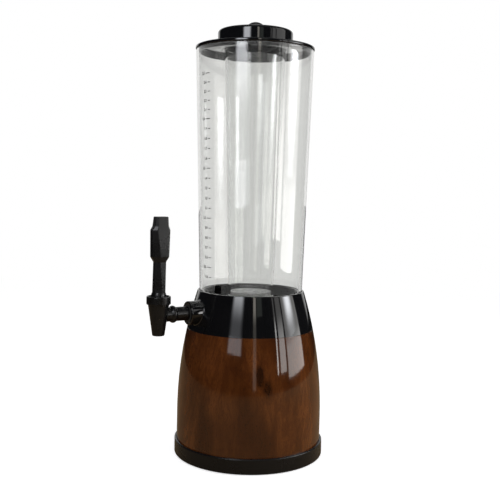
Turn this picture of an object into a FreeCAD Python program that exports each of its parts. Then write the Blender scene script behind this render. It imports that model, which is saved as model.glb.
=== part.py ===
import FreeCAD, Part
import math
import os
import Sketcher

# Table-top drink tower: a clear tapered tube on a barrel-shaped base, with an ice tube and a lever tap
# Row frame in millimetres: origin under the middle of the base, +Z up, the tap points along -Y

document = FreeCAD.newDocument("DrinkTower")
sheet = document.addObject("Spreadsheet::Sheet", "Sizes")

# Driving sizes: alias, value, meaning
SIZES = [
    ("fit_gap", 0.3, "space between pieces that slide over each other"),
    ("running_gap", 0.05, "radial clearance of pins and stems in their holes"),
    ("seat_gap", 0.2, "space left under a piece that lifts off"),
    ("foot_height", 1.0, "how far the feet stand below the base ring"),
    ("foot_thickness", 2.0, "thickness of a rubber foot"),
    ("foot_radius", 8.0, "radius of a rubber foot"),
    ("foot_circle", 56.0, "radius of the circle of the feet"),
    ("foot_count", 4, "number of feet"),
    ("plate_radius", 74.0, "radius of the bottom plate"),
    ("plate_thickness", 2.5, "thickness of the bottom plate"),
    ("ring_radius", 81.0, "outer radius of the base ring"),
    ("ring_top", 17.0, "height of the top edge of the base ring"),
    ("ring_round", 1.0, "rounding of the outer edges of the base ring"),
    ("ring_lip_top", 12.0, "height of the lip inside the shell"),
    ("ring_wall", 2.2, "thickness of the lip and the floor of the ring"),
    ("ring_flange_radius", 62.0, "inner radius of the ring's flange above the plate"),
    ("plate_screw_circle", 67.0, "radius of the circle of the plate screws"),
    ("screw_radius", 1.5, "radius of a screw's shaft"),
    ("screw_head_radius", 3.0, "radius of a screw's head"),
    ("screw_head_height", 1.4, "height of a screw's head"),
    ("screw_bite", 7.0, "length of thread in a screw's boss"),
    ("screw_boss_wall", 2.2, "wall of a screw's boss"),
    ("screw_count", 4, "number of screws in each circle"),
    ("shell_radius", 78.5, "largest outer radius of the base shell"),
    ("shell_wall", 2.5, "wall of the base shell and the collar"),
    ("straight_height", 45.0, "height up to which the shell is a straight cylinder"),
    ("seam_height", 138.0, "height of the seam between shell and collar"),
    ("seam_flange_radius", 56.0, "inner radius of the flanges at the seam"),
    ("seam_screw_circle", 60.5, "radius of the circle of the seam screws"),
    ("rim_height", 179.0, "height of the collar's rim"),
    ("rim_radius", 57.5, "outer radius of the collar's rim"),
    ("rim_round", 0.7, "rounding of the collar's rim"),
    ("ledge_thickness", 2.0, "thickness of the ledge that carries the well"),
    ("well_wall", 1.7, "wall of the well"),
    ("well_floor_height", 142.0, "height of the underside of the well"),
    ("well_floor", 2.5, "thickness of the well's floor"),
    ("well_flange", 1.5, "thickness of the well's flange"),
    ("well_spigot_drop", 0.6, "how far the well's spigot ends below the rim"),
    ("gasket_thickness", 1.2, "thickness of the gasket under the tube"),
    ("tube_depth", 7.0, "how deep the tube sits in the collar"),
    ("tube_bottom_radius", 55.4, "outer radius of the clear tube at its lower end"),
    ("tube_top_radius", 62.6, "outer radius of the clear tube at its upper end"),
    ("tube_top_height", 434.5, "height of the upper end of the clear tube"),
    ("tube_wall", 2.5, "wall of the clear tube"),
    ("lid_radius", 63.3, "outer radius of the lid"),
    ("lid_edge", 3.2, "height of the lid's edge"),
    ("lid_round", 0.9, "rounding of the lid's edge"),
    ("lid_plate", 2.5, "thickness of the lid's plate"),
    ("skirt_depth", 3.7, "how deep the lid's skirt reaches into the tube"),
    ("skirt_wall", 1.9, "wall of the lid's skirt"),
    ("neck_height", 8.3, "height of the neck on the lid"),
    ("neck_wall", 4.0, "wall of the neck on the lid"),
    ("seal_thickness", 1.0, "thickness of the seal under the ice tube's flange"),
    ("ice_top_radius", 32.6, "outer radius of the ice tube below its flange"),
    ("ice_bottom_radius", 24.4, "outer radius of the ice tube at its lower end"),
    ("ice_bottom_height", 174.0, "height of the lower end of the ice tube's wall"),
    ("ice_wall", 2.0, "wall of the ice tube"),
    ("ice_flange", 2.0, "thickness of the ice tube's flange"),
    ("ice_flange_width", 3.4, "width of the ice tube's flange"),
    ("ice_floor", 2.0, "thickness of the ice tube's end disc"),
    ("ice_plug", 4.0, "height of the end disc's plug inside the tube"),
    ("cap_wall", 2.7, "wall of the cap"),
    ("cap_height", 17.1, "height of the cap"),
    ("cap_round", 3.2, "rounding of the cap's upper edge"),
    ("cap_seal_thickness", 1.4, "thickness of the seal inside the cap"),
    ("knob_radius", 12.4, "radius of the domed knob where it meets the cap"),
    ("knob_height", 9.5, "height of the domed knob"),
    ("knob_stem_radius", 2.0, "radius of the knob's peg in the cap"),
    ("tap_height", 157.6, "height of the tap's shank"),
    ("tap_reach", 107.8, "distance from the tower's axis to the spout's axis"),
    ("boss_radius", 12.6, "radius of the boss for the tap on the collar"),
    ("boss_reach", 75.5, "distance from the tower's axis to the boss's face"),
    ("boss_root", 57.0, "distance from the tower's axis to the root of the boss"),
    ("sleeve_radius", 8.7, "radius of the sleeve between collar and well"),
    ("pad_radius", 10.5, "radius of the flat pad inside the well"),
    ("pad_reach", 48.0, "distance from the tower's axis to the pad's face"),
    ("pad_sink", 0.5, "how far the pad runs into the wall of the well"),
    ("washer_radius", 9.8, "radius of the washers on the shank"),
    ("washer_thickness", 2.0, "thickness of the washers on the shank"),
    ("nut_flats", 20.0, "width across the flats of the lock nut"),
    ("nut_thickness", 6.0, "thickness of the lock nut"),
    ("thread_radius", 6.2, "outer radius of the shank's threaded part"),
    ("thread_end", 37.0, "distance from the tower's axis to the shank's inner end"),
    ("shank_radius", 7.35, "radius of the shank outside the collar"),
    ("shank_bore", 4.2, "radius of the passage through the shank"),
    ("bead_place", 15.6, "distance from the spout's axis to the middle of the shank's bead"),
    ("bead_width", 6.0, "width of the shank's bead"),
    ("bead_rise", 1.65, "height of the bead above the shank"),
    ("spout_top", 11.3, "height of the spout cone's wide end above the shank's axis"),
    ("spout_top_radius", 10.9, "radius of the spout cone at its wide end"),
    ("spout_drop", 21.2, "depth of the spout's mouth below the shank's axis"),
    ("spout_mouth_radius", 6.3, "outer radius of the spout at its mouth"),
    ("spout_round", 1.0, "rounding of the spout's mouth"),
    ("outlet_radius", 4.4, "radius of the outlet in the spout"),
    ("seat_drop", 5.2, "depth of the valve seat below the shank's axis"),
    ("chamber_radius", 6.8, "radius of the valve chamber"),
    ("bonnet_thread_radius", 8.0, "radius of the thread between bonnet and tap body"),
    ("bonnet_radius", 12.5, "outer radius of the bonnet"),
    ("bonnet_top", 19.8, "height of the bonnet's top above the shank's axis"),
    ("bonnet_round", 0.8, "rounding of the bonnet's outer edges"),
    ("mouth_radius", 11.2, "radius of the bonnet's flared mouth"),
    ("mouth_depth", 4.6, "depth of the bonnet's flared mouth"),
    ("plug_bottom", 6.0, "height of the underside of the bonnet above the shank's axis"),
    ("ball_height", 17.6, "height of the handle's ball above the shank's axis"),
    ("ball_radius", 8.2, "radius of the ball at the foot of the handle"),
    ("neck_ball_radius", 7.9, "radius of the second ball, between the neck and the bonnet's mouth"),
    ("fork_gap", 6.4, "width of the slot between the cheeks of the ball"),
    ("fork_radius", 6.3, "radius of the round hollow between the cheeks"),
    ("pivot_radius", 1.2, "radius of the pivot pins"),
    ("pivot_inner", 3.6, "distance from the middle to a pivot pin's inner end"),
    ("pivot_outer", 11.5, "distance from the middle to a pivot pin's outer end"),
    ("drive_radius", 0.8, "radius of the drive pin"),
    ("drive_offset", 3.0, "distance from the pivot axis to the drive pin"),
    ("drive_length", 11.0, "length of the drive pin"),
    ("drive_gap", 0.15, "space around the drive pin in the stem's slot"),
    ("drive_travel", 0.55, "how far the drive pin runs along the stem's slot"),
    ("stem_radius", 1.6, "radius of the stem"),
    ("head_width", 5.6, "width of the stem's flat head"),
    ("head_half_height", 1.6, "half the height of the stem's flat head"),
    ("head_end_wall", 0.85, "wall of the stem's head beyond the slot"),
    ("stem_flange_radius", 4.2, "radius of the stem's flange"),
    ("stem_flange", 1.0, "thickness of the stem's flange"),
    ("cup_radius", 5.4, "radius of the rubber seat cup"),
    ("cup_height", 5.0, "height of the rubber seat cup"),
    ("cup_lip", 1.5, "height of the straight lip of the seat cup"),
    ("cup_floor", 1.2, "thickness of the seat cup under the stem"),
    ("ring_seal_radius", 3.2, "outer radius of the seal around the stem"),
    ("ring_seal_height", 1.8, "height of the seal around the stem"),
    ("spring_radius", 3.65, "mean radius of the tap's spring"),
    ("wire_radius", 0.35, "radius of the spring's wire"),
    ("spring_turns", 4, "number of turns of the spring"),
]


class Size:
    """A length that keeps its value in millimetres together with the expression that binds it."""

    def __init__(self, value, text):
        self.value = float(value)
        self.text = text

    def __add__(self, other):
        other = as_size(other)
        return Size(self.value + other.value, f"({self.text} + {other.text})")

    def __sub__(self, other):
        other = as_size(other)
        return Size(self.value - other.value, f"({self.text} - {other.text})")

    def __mul__(self, other):
        other = as_size(other)
        return Size(self.value * other.value, f"({self.text} * {other.text})")

    def __truediv__(self, other):
        other = as_size(other)
        return Size(self.value / other.value, f"({self.text} / {other.text})")

    def __neg__(self):
        return Size(-self.value, f"(0 - {self.text})")


def as_size(number):
    """Wrap a plain number so that it can stand beside a Size."""
    if isinstance(number, Size):
        return number
    return Size(number, f"{number:g}" if number >= 0 else f"(0 - {-number:g})")


def root(size):
    """Square root of a Size."""
    return Size(math.sqrt(size.value), f"sqrt({size.text})")


class Sizes:
    """The rows of the sheet as attributes."""


size = Sizes()
for row, (alias, value, meaning) in enumerate(SIZES, start=1):
    sheet.set(f"A{row}", meaning)
    sheet.set(f"B{row}", str(value))
    sheet.setAlias(f"B{row}", alias)
    setattr(size, alias, Size(value, f"Sizes.{alias}"))
document.recompute()


# Building helpers

def new_body(label):
    """An empty sub-part."""
    body = document.addObject("PartDesign::Body", label)
    body.Label = label
    return body


def place_at_tap(body):
    """Move a sub-part of the tap so that its origin is where the spout's axis meets the shank's axis."""
    body.Placement = FreeCAD.Placement(
        FreeCAD.Vector(0, -size.tap_reach.value, size.tap_height.value), FreeCAD.Rotation())
    body.setExpression("Placement.Base.y", (-size.tap_reach).text)
    body.setExpression("Placement.Base.z", size.tap_height.text)


def new_sketch(body, name, role, start=None):
    """A sketch on one of the body's origin planes, moved along the plane's normal by start."""
    sketch = body.newObject("Sketcher::SketchObject", name)
    plane = [feature for feature in body.Origin.OriginFeatures if feature.Role == role][0]
    sketch.AttachmentSupport = [(plane, "")]
    sketch.MapMode = "FlatFace"
    if start is not None:
        start = as_size(start)
        sketch.AttachmentOffset = FreeCAD.Placement(
            FreeCAD.Vector(0, 0, start.value), FreeCAD.Rotation())
        sketch.setExpression("AttachmentOffset.Base.z", start.text)
    return sketch


def bind(sketch, kind, *args):
    """Add a driving constraint whose last argument is a Size."""
    driver = args[-1]
    index = sketch.addConstraint(Sketcher.Constraint(kind, *args[:-1], driver.value))
    sketch.setExpression(f"Constraints[{index}]", driver.text)


def pin_point(sketch, edge, end, across, up):
    """Tie one end of an edge to its two coordinates."""
    if across.value == 0:
        sketch.addConstraint(Sketcher.Constraint("PointOnObject", edge, end, -2))
    else:
        bind(sketch, "DistanceX", -1, 1, edge, end, across)
    if up.value == 0:
        sketch.addConstraint(Sketcher.Constraint("PointOnObject", edge, end, -1))
    else:
        bind(sketch, "DistanceY", -1, 1, edge, end, up)


def closed_outline(sketch, corners, arcs=None):
    """Draw a closed outline. arcs gives the centre and radius of each edge that is an arc of a circle."""
    arcs = arcs or {}
    corners = [(as_size(across), as_size(up)) for across, up in corners]
    ends = []
    for index, (across, up) in enumerate(corners):
        far_across, far_up = corners[(index + 1) % len(corners)]
        if index in arcs:
            (centre_across, centre_up), radius = arcs[index]
            centre = FreeCAD.Vector(as_size(centre_across).value, as_size(centre_up).value, 0)
            begin = math.atan2(up.value - centre.y, across.value - centre.x)
            finish = math.atan2(far_up.value - centre.y, far_across.value - centre.x)
            forward = (finish - begin) % (2 * math.pi) < math.pi
            first, last = (begin, finish) if forward else (finish, begin)
            circle = Part.Circle(centre, FreeCAD.Vector(0, 0, 1), radius.value)
            sketch.addGeometry(Part.ArcOfCircle(circle, first, last), False)
            bind(sketch, "Radius", index, radius)
            ends.append((1, 2) if forward else (2, 1))
        else:
            near = FreeCAD.Vector(across.value, up.value, 0)
            far = FreeCAD.Vector(far_across.value, far_up.value, 0)
            sketch.addGeometry(Part.LineSegment(near, far), False)
            ends.append((1, 2))
    for index, (across, up) in enumerate(corners):
        following = (index + 1) % len(corners)
        sketch.addConstraint(Sketcher.Constraint(
            "Coincident", index, ends[index][1], following, ends[following][0]))
        pin_point(sketch, index, ends[index][0], across, up)


def circle_at(sketch, across, up, radius):
    """Draw a circle whose centre and radius are bound."""
    across, up, radius = as_size(across), as_size(up), as_size(radius)
    edge = sketch.addGeometry(Part.Circle(
        FreeCAD.Vector(across.value, up.value, 0), FreeCAD.Vector(0, 0, 1), radius.value), False)
    pin_point(sketch, edge, 3, across, up)
    bind(sketch, "Radius", edge, radius)


def turn(body, name, corners, arcs=None, role="XZ_Plane", axis="V_Axis"):
    """Revolve an outline of radius and height about the body's own axis."""
    sketch = new_sketch(body, name + "Outline", role)
    closed_outline(sketch, corners, arcs)
    feature = body.newObject("PartDesign::Revolution", name)
    feature.Profile = sketch
    feature.ReferenceAxis = (sketch, [axis])
    feature.Angle = 360
    document.recompute()
    return feature


def extrude(body, name, role, start, length, draw, cut=False):
    """Pad or pocket what draw puts in a sketch, from start along the plane's normal."""
    sketch = new_sketch(body, name + "Outline", role, start)
    draw(sketch)
    feature = body.newObject("PartDesign::Pocket" if cut else "PartDesign::Pad", name)
    feature.Profile = sketch
    feature.Length = length.value
    feature.setExpression("Length", length.text)
    feature.Reversed = cut
    before = body.Shape.Volume if cut else 0
    document.recompute()
    if cut and not body.Shape.Volume < before:
        raise RuntimeError(f"{body.Label}: {name} cuts nothing")
    return feature


def disc(across, up, *radii):
    """A drawing of one circle, or of a ring from two."""
    def draw(sketch):
        for radius in radii:
            circle_at(sketch, across, up, radius)
    return draw


def block(left, right, low, high):
    """A drawing of a rectangle."""
    def draw(sketch):
        closed_outline(sketch, [(left, low), (right, low), (right, high), (left, high)])
    return draw


def ring_of(body, name, features, count):
    """Repeat features evenly about the vertical axis."""
    pattern = body.newObject("PartDesign::PolarPattern", name)
    pattern.Originals = features
    axis = [feature for feature in body.Origin.OriginFeatures if feature.Role == "Z_Axis"][0]
    pattern.Axis = (axis, [""])
    pattern.Angle = 360
    pattern.Occurrences = int(count.value)
    pattern.setExpression("Occurrences", count.text)
    body.Tip = pattern
    document.recompute()
    return pattern


def round_rims(body, name, radius, rims):
    """Round the circular edges that have the given radius and height."""
    feature = body.Tip
    edges = []
    for number, edge in enumerate(feature.Shape.Edges, start=1):
        if not isinstance(edge.Curve, Part.Circle):
            continue
        for across, up in rims:
            same_radius = abs(edge.Curve.Radius - across.value) < 0.01
            if same_radius and abs(edge.Curve.Center.z - up.value) < 0.01:
                edges.append(f"Edge{number}")
    if not edges:
        raise RuntimeError(f"{body.Label}: {name} finds no edge")
    fillet = body.newObject("PartDesign::Fillet", name)
    fillet.Base = (feature, edges)
    fillet.Radius = radius.value
    fillet.setExpression("Radius", radius.text)
    document.recompute()
    return fillet


def turned_part(label, corners, arcs=None):
    """A sub-part that is one revolved outline about the tower's axis."""
    body = new_body(label)
    turn(body, label + "_turn", corners, arcs)
    return body


def screw_group(label, circle, head_bottom, head_top, tip):
    """A circle of equal screws, heads down."""
    body = new_body(label)
    head = extrude(body, label + "_head", "XY_Plane", head_bottom, head_top - head_bottom,
                   disc(circle, 0, size.screw_head_radius))
    shaft = extrude(body, label + "_shaft", "XY_Plane", head_top, tip - head_top,
                    disc(circle, 0, size.screw_radius))
    ring_of(body, label + "_ring", [head, shaft], size.screw_count)
    return body


# Heights and radii that several pieces share

plate_bottom = size.foot_height
plate_top = plate_bottom + size.plate_thickness
channel_floor = plate_top
shell_inner = size.shell_radius - size.shell_wall
lip_outer = shell_inner - size.fit_gap
lip_inner = lip_outer - size.ring_wall
flange_top = plate_top + size.ring_wall

# The shell and the collar share one outer curve, an arc that leaves the straight part without a kink
taper_width = size.shell_radius - size.rim_radius
taper_height = size.rim_height - size.straight_height
curve_radius = (taper_width * taper_width + taper_height * taper_height) / (taper_width * 2)
curve_centre = size.shell_radius - curve_radius
inner_curve_radius = curve_radius - size.shell_wall


def curve_at(radius, height):
    """Radius of the barrel curve at a height."""
    rise = height - size.straight_height
    return curve_centre + root(radius * radius - rise * rise)


tube_bottom = size.rim_height - size.tube_depth
tube_length = size.tube_top_height - tube_bottom
tube_draft = (size.tube_top_radius - size.tube_bottom_radius) / tube_length
gasket_bottom = tube_bottom - size.gasket_thickness
well_flange_bottom = gasket_bottom - size.well_flange
ledge_bottom = well_flange_bottom - size.ledge_thickness
collar_bore = size.tube_bottom_radius + tube_draft * size.tube_depth + size.fit_gap
well_outer = size.tube_bottom_radius - size.tube_wall - size.fit_gap
well_inner = well_outer - size.well_wall
ledge_bore = well_outer + size.fit_gap

lid_bottom = size.tube_top_height + size.seat_gap
lid_top = lid_bottom + size.lid_edge
neck_inner = size.ice_top_radius + size.fit_gap
neck_outer = neck_inner + size.neck_wall
neck_end = lid_top + size.neck_height
ice_flange_bottom = neck_end + size.seal_thickness
ice_flange_top = ice_flange_bottom + size.ice_flange
ice_flange_radius = size.ice_top_radius + size.ice_flange_width
cap_bottom = lid_top + size.seat_gap
cap_top = cap_bottom + size.cap_height
cap_inner = neck_outer + size.fit_gap
cap_outer = cap_inner + size.cap_wall
cap_ceiling = cap_top - size.cap_wall
cap_seal_top = cap_ceiling
cap_seal_bottom = cap_seal_top - size.cap_seal_thickness


# Feet, bottom plate, base ring and the screws between them

feet = new_body("rubber_feet")
foot = extrude(feet, "foot_pad", "XY_Plane", as_size(0), size.foot_thickness,
               disc(size.foot_circle, 0, size.foot_radius))
ring_of(feet, "foot_ring", [foot], size.foot_count)

plate = turned_part("bottom_plate", [
    (0, plate_bottom), (size.plate_radius - size.fit_gap, plate_bottom),
    (size.plate_radius - size.fit_gap, plate_top), (0, plate_top)])
recess = extrude(plate, "foot_recess", "XY_Plane", plate_bottom, size.foot_thickness - size.foot_height,
                 disc(size.foot_circle, 0, size.foot_radius), cut=True)
ring_of(plate, "recess_ring", [recess], size.foot_count)


def screw_seat(body, circle, head_bottom, head_top, hole_top):
    """A circle of counterbored screw holes."""
    mouth = extrude(body, "head_hole", "XY_Plane", head_bottom, head_top - head_bottom,
                    disc(circle, 0, size.screw_head_radius + size.fit_gap), cut=True)
    hole = extrude(body, "shaft_hole", "XY_Plane", head_bottom, hole_top - head_bottom,
                   disc(circle, 0, size.screw_radius + size.running_gap), cut=True)
    ring_of(body, "screw_holes", [mouth, hole], size.screw_count)


def screw_bosses(body, circle, bottom, top, hole_bottom, hole_top):
    """A circle of bosses with blind holes that take the screws' threads."""
    boss = extrude(body, "screw_boss", "XY_Plane", bottom, top - bottom,
                   disc(circle, 0, size.screw_radius + size.screw_boss_wall))
    ring_of(body, "boss_ring", [boss], size.screw_count)
    hole = extrude(body, "boss_hole", "XY_Plane", hole_bottom, hole_top - hole_bottom,
                   disc(circle, 0, size.screw_radius + size.running_gap), cut=True)
    ring_of(body, "boss_holes", [hole], size.screw_count)


plate_head_top = plate_bottom + size.screw_head_height
plate_screw_tip = flange_top + size.screw_bite
screw_seat(plate, size.plate_screw_circle, plate_bottom, plate_head_top, plate_top)
screw_group("plate_screws", size.plate_screw_circle, plate_bottom, plate_head_top, plate_screw_tip)

base_ring = turned_part("base_ring", [
    (size.plate_radius, plate_bottom), (size.ring_radius, plate_bottom),
    (size.ring_radius, size.ring_top), (size.shell_radius + size.fit_gap, size.ring_top),
    (size.shell_radius + size.fit_gap, channel_floor), (lip_outer, channel_floor),
    (lip_outer, size.ring_lip_top), (lip_inner, size.ring_lip_top), (lip_inner, flange_top),
    (size.ring_flange_radius, flange_top), (size.ring_flange_radius, plate_top),
    (size.plate_radius, plate_top)])
round_rims(base_ring, "ring_edges", size.ring_round,
           [(size.ring_radius, plate_bottom), (size.ring_radius, size.ring_top)])
screw_bosses(base_ring, size.plate_screw_circle, plate_top, plate_screw_tip + size.screw_boss_wall,
             plate_top, plate_screw_tip + size.fit_gap)

# Barrel-shaped base shell with an inward flange at its top

shell_flange_bottom = size.seam_height - size.shell_wall
shell = turned_part("base_shell", [
    (shell_inner, channel_floor), (size.shell_radius, channel_floor),
    (size.shell_radius, size.straight_height), (curve_at(curve_radius, size.seam_height), size.seam_height),
    (size.seam_flange_radius, size.seam_height), (size.seam_flange_radius, shell_flange_bottom),
    (curve_at(inner_curve_radius, shell_flange_bottom), shell_flange_bottom),
    (shell_inner, size.straight_height)],
    {2: ((curve_centre, size.straight_height), curve_radius),
     6: ((curve_centre, size.straight_height), inner_curve_radius)})
seam_hole = extrude(shell, "seam_hole", "XY_Plane", shell_flange_bottom, size.shell_wall,
                    disc(size.seam_screw_circle, 0, size.screw_radius + size.running_gap), cut=True)
ring_of(shell, "seam_holes", [seam_hole], size.screw_count)

# Glossy collar: carries the well and the tube, and has the boss for the tap

collar_flange_top = size.seam_height + size.shell_wall
collar = turned_part("collar", [
    (size.seam_flange_radius, size.seam_height),
    (curve_at(curve_radius, size.seam_height), size.seam_height), (size.rim_radius, size.rim_height),
    (collar_bore, size.rim_height), (collar_bore, well_flange_bottom),
    (ledge_bore, well_flange_bottom), (ledge_bore, ledge_bottom),
    (curve_at(inner_curve_radius, ledge_bottom), ledge_bottom),
    (curve_at(inner_curve_radius, collar_flange_top), collar_flange_top),
    (size.seam_flange_radius, collar_flange_top)],
    {1: ((curve_centre, size.straight_height), curve_radius),
     7: ((curve_centre, size.straight_height), inner_curve_radius)})
round_rims(collar, "rim_edge", size.rim_round, [(size.rim_radius, size.rim_height)])
extrude(collar, "tap_boss", "XZ_Plane", size.boss_root, size.boss_reach - size.boss_root,
        disc(0, size.tap_height, size.boss_radius))
extrude(collar, "tap_sleeve", "XZ_Plane", well_inner, size.boss_root - well_inner + size.shell_wall,
        disc(0, size.tap_height, size.sleeve_radius))
extrude(collar, "well_room", "XY_Plane", size.seam_height, well_flange_bottom - size.seam_height,
        disc(0, 0, ledge_bore), cut=True)
extrude(collar, "shank_hole", "XZ_Plane", well_inner, size.boss_reach - well_inner,
        disc(0, size.tap_height, size.thread_radius + size.fit_gap), cut=True)
extrude(collar, "washer_recess", "XZ_Plane", size.boss_reach - size.washer_thickness,
        size.washer_thickness, disc(0, size.tap_height, size.washer_radius + size.fit_gap), cut=True)
seam_screw_tip = collar_flange_top + size.screw_bite
screw_bosses(collar, size.seam_screw_circle, size.seam_height, seam_screw_tip + size.screw_boss_wall,
             size.seam_height, seam_screw_tip + size.fit_gap)
screw_group("seam_screws", size.seam_screw_circle, shell_flange_bottom - size.screw_head_height,
            shell_flange_bottom, seam_screw_tip)

# Well: the cup under the tube that feeds the tap

well_top = size.rim_height - size.well_spigot_drop
well_floor_top = size.well_floor_height + size.well_floor
well = turned_part("well_cup", [
    (0, size.well_floor_height), (well_outer, size.well_floor_height),
    (well_outer, well_flange_bottom), (collar_bore - size.fit_gap, well_flange_bottom),
    (collar_bore - size.fit_gap, gasket_bottom), (well_outer, gasket_bottom),
    (well_outer, well_top), (well_inner, well_top), (well_inner, well_floor_top), (0, well_floor_top)])
extrude(well, "nut_pad", "XZ_Plane", size.pad_reach, well_inner + size.pad_sink - size.pad_reach,
        disc(0, size.tap_height, size.pad_radius))
extrude(well, "shank_hole", "XZ_Plane", size.pad_reach, well_outer - size.pad_reach,
        disc(0, size.tap_height, size.thread_radius + size.fit_gap), cut=True)

turned_part("tube_gasket", [
    (well_outer, gasket_bottom), (collar_bore - size.fit_gap, gasket_bottom),
    (collar_bore - size.fit_gap, tube_bottom), (well_outer, tube_bottom)])

turned_part("clear_tube", [
    (size.tube_bottom_radius - size.tube_wall, tube_bottom), (size.tube_bottom_radius, tube_bottom),
    (size.tube_top_radius, size.tube_top_height),
    (size.tube_top_radius - size.tube_wall, size.tube_top_height)])

# Lid, the ice tube that hangs in it, and the cap over the ice tube

skirt_outer = size.tube_top_radius - size.tube_wall - size.fit_gap
skirt_inner = skirt_outer - size.skirt_wall
lid_plate_bottom = lid_top - size.lid_plate
lid = turned_part("lid", [
    (neck_inner, lid_plate_bottom), (skirt_inner, lid_plate_bottom),
    (skirt_inner, lid_bottom - size.skirt_depth), (skirt_outer, lid_bottom - size.skirt_depth),
    (skirt_outer, lid_bottom), (size.lid_radius, lid_bottom), (size.lid_radius, lid_top),
    (neck_outer, lid_top), (neck_outer, neck_end), (neck_inner, neck_end)])
round_rims(lid, "lid_edges", size.lid_round, [(size.lid_radius, lid_bottom), (size.lid_radius, lid_top)])

turned_part("ice_tube_seal", [
    (neck_inner, neck_end), (ice_flange_radius, neck_end),
    (ice_flange_radius, ice_flange_bottom), (neck_inner, ice_flange_bottom)])

turned_part("ice_tube", [
    (size.ice_bottom_radius - size.ice_wall, size.ice_bottom_height),
    (size.ice_bottom_radius, size.ice_bottom_height), (size.ice_top_radius, ice_flange_bottom),
    (ice_flange_radius, ice_flange_bottom), (ice_flange_radius, ice_flange_top),
    (size.ice_top_radius - size.ice_wall, ice_flange_top)])

ice_draft = (size.ice_top_radius - size.ice_bottom_radius) / (ice_flange_top - size.ice_bottom_height)
plug_radius = size.ice_bottom_radius - size.ice_wall - size.running_gap
turned_part("ice_tube_floor", [
    (0, size.ice_bottom_height - size.ice_floor),
    (size.ice_bottom_radius, size.ice_bottom_height - size.ice_floor),
    (size.ice_bottom_radius, size.ice_bottom_height), (plug_radius, size.ice_bottom_height),
    (plug_radius + ice_draft * size.ice_plug, size.ice_bottom_height + size.ice_plug),
    (0, size.ice_bottom_height + size.ice_plug)])

cap = turned_part("lid_cap", [
    (size.knob_stem_radius, cap_ceiling), (cap_inner, cap_ceiling), (cap_inner, cap_bottom),
    (cap_outer, cap_bottom), (cap_outer, cap_top), (size.knob_stem_radius, cap_top)])
round_rims(cap, "cap_edge", size.cap_round, [(cap_outer, cap_top)])

turned_part("cap_seal", [
    (neck_inner, cap_seal_bottom), (ice_flange_radius, cap_seal_bottom),
    (ice_flange_radius, cap_seal_top), (neck_inner, cap_seal_top)])

knob_curve = (size.knob_radius * size.knob_radius + size.knob_height * size.knob_height) / (size.knob_height * 2)
knob_top = cap_top + size.knob_height
turned_part("cap_knob", [
    (0, cap_ceiling), (size.knob_stem_radius, cap_ceiling), (size.knob_stem_radius, cap_top),
    (size.knob_radius, cap_top), (0, knob_top)],
    {3: ((0, knob_top - knob_curve), knob_curve)})

# What clamps the tap in the collar and the well

shaft_room = size.thread_radius + size.running_gap
washer = new_body("tap_outer_seal")
extrude(washer, "washer", "XZ_Plane", size.boss_reach - size.washer_thickness, size.washer_thickness,
        disc(0, size.tap_height, size.washer_radius, shaft_room))
washer = new_body("tap_inner_seal")
extrude(washer, "washer", "XZ_Plane", size.pad_reach - size.washer_thickness, size.washer_thickness,
        disc(0, size.tap_height, size.washer_radius, shaft_room))

nut_reach = size.pad_reach - size.washer_thickness - size.nut_thickness
nut_corner = size.nut_flats / root(as_size(3))


def draw_nut(sketch):
    """A hexagon with flat sides left and right, and the bore."""
    half = size.nut_flats / 2
    low, high = size.tap_height - nut_corner, size.tap_height + nut_corner
    lower, upper = size.tap_height - nut_corner / 2, size.tap_height + nut_corner / 2
    closed_outline(sketch, [(0, low), (half, lower), (half, upper), (0, high), (-half, upper), (-half, lower)])
    circle_at(sketch, 0, size.tap_height, shaft_room)


nut = new_body("tap_lock_nut")
extrude(nut, "hexagon", "XZ_Plane", nut_reach, size.nut_thickness, draw_nut)

# Tap body: spout cone and shank in one moulding, drawn from where their axes meet

tap_body = new_body("tap_body")
place_at_tap(tap_body)
turn(tap_body, "spout_cone", [
    (0, -size.spout_drop), (size.spout_mouth_radius, -size.spout_drop),
    (size.spout_top_radius, size.spout_top), (0, size.spout_top)])
round_rims(tap_body, "spout_lip", size.spout_round, [(size.spout_mouth_radius, -size.spout_drop)])
bead_half = size.bead_width / 2
bead_curve = (bead_half * bead_half + size.bead_rise * size.bead_rise) / (size.bead_rise * 2)
shoulder = size.tap_reach - size.boss_reach
turn(tap_body, "shank", [
    (size.chamber_radius, 0), (size.chamber_radius, size.shank_radius),
    (size.bead_place - bead_half, size.shank_radius), (size.bead_place + bead_half, size.shank_radius),
    (shoulder, size.shank_radius), (shoulder, size.thread_radius),
    (size.tap_reach - size.thread_end, size.thread_radius), (size.tap_reach - size.thread_end, 0)],
    {2: ((size.bead_place, size.shank_radius + size.bead_rise - bead_curve), bead_curve)},
    role="YZ_Plane", axis="H_Axis")
extrude(tap_body, "chamber", "XY_Plane", -size.seat_drop, size.seat_drop + size.spout_top,
        disc(0, 0, size.chamber_radius), cut=True)
extrude(tap_body, "bonnet_thread", "XY_Plane", size.plug_bottom, size.spout_top - size.plug_bottom,
        disc(0, 0, size.bonnet_thread_radius), cut=True)
extrude(tap_body, "outlet", "XY_Plane", -size.spout_drop, size.spout_drop - size.seat_drop,
        disc(0, 0, size.outlet_radius), cut=True)
extrude(tap_body, "passage", "XZ_Plane", size.thread_end - size.tap_reach,
        size.tap_reach - size.thread_end, disc(0, 0, size.shank_bore), cut=True)

# Bonnet: threaded ring with a round socket for the ball and a guide for the stem

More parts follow.
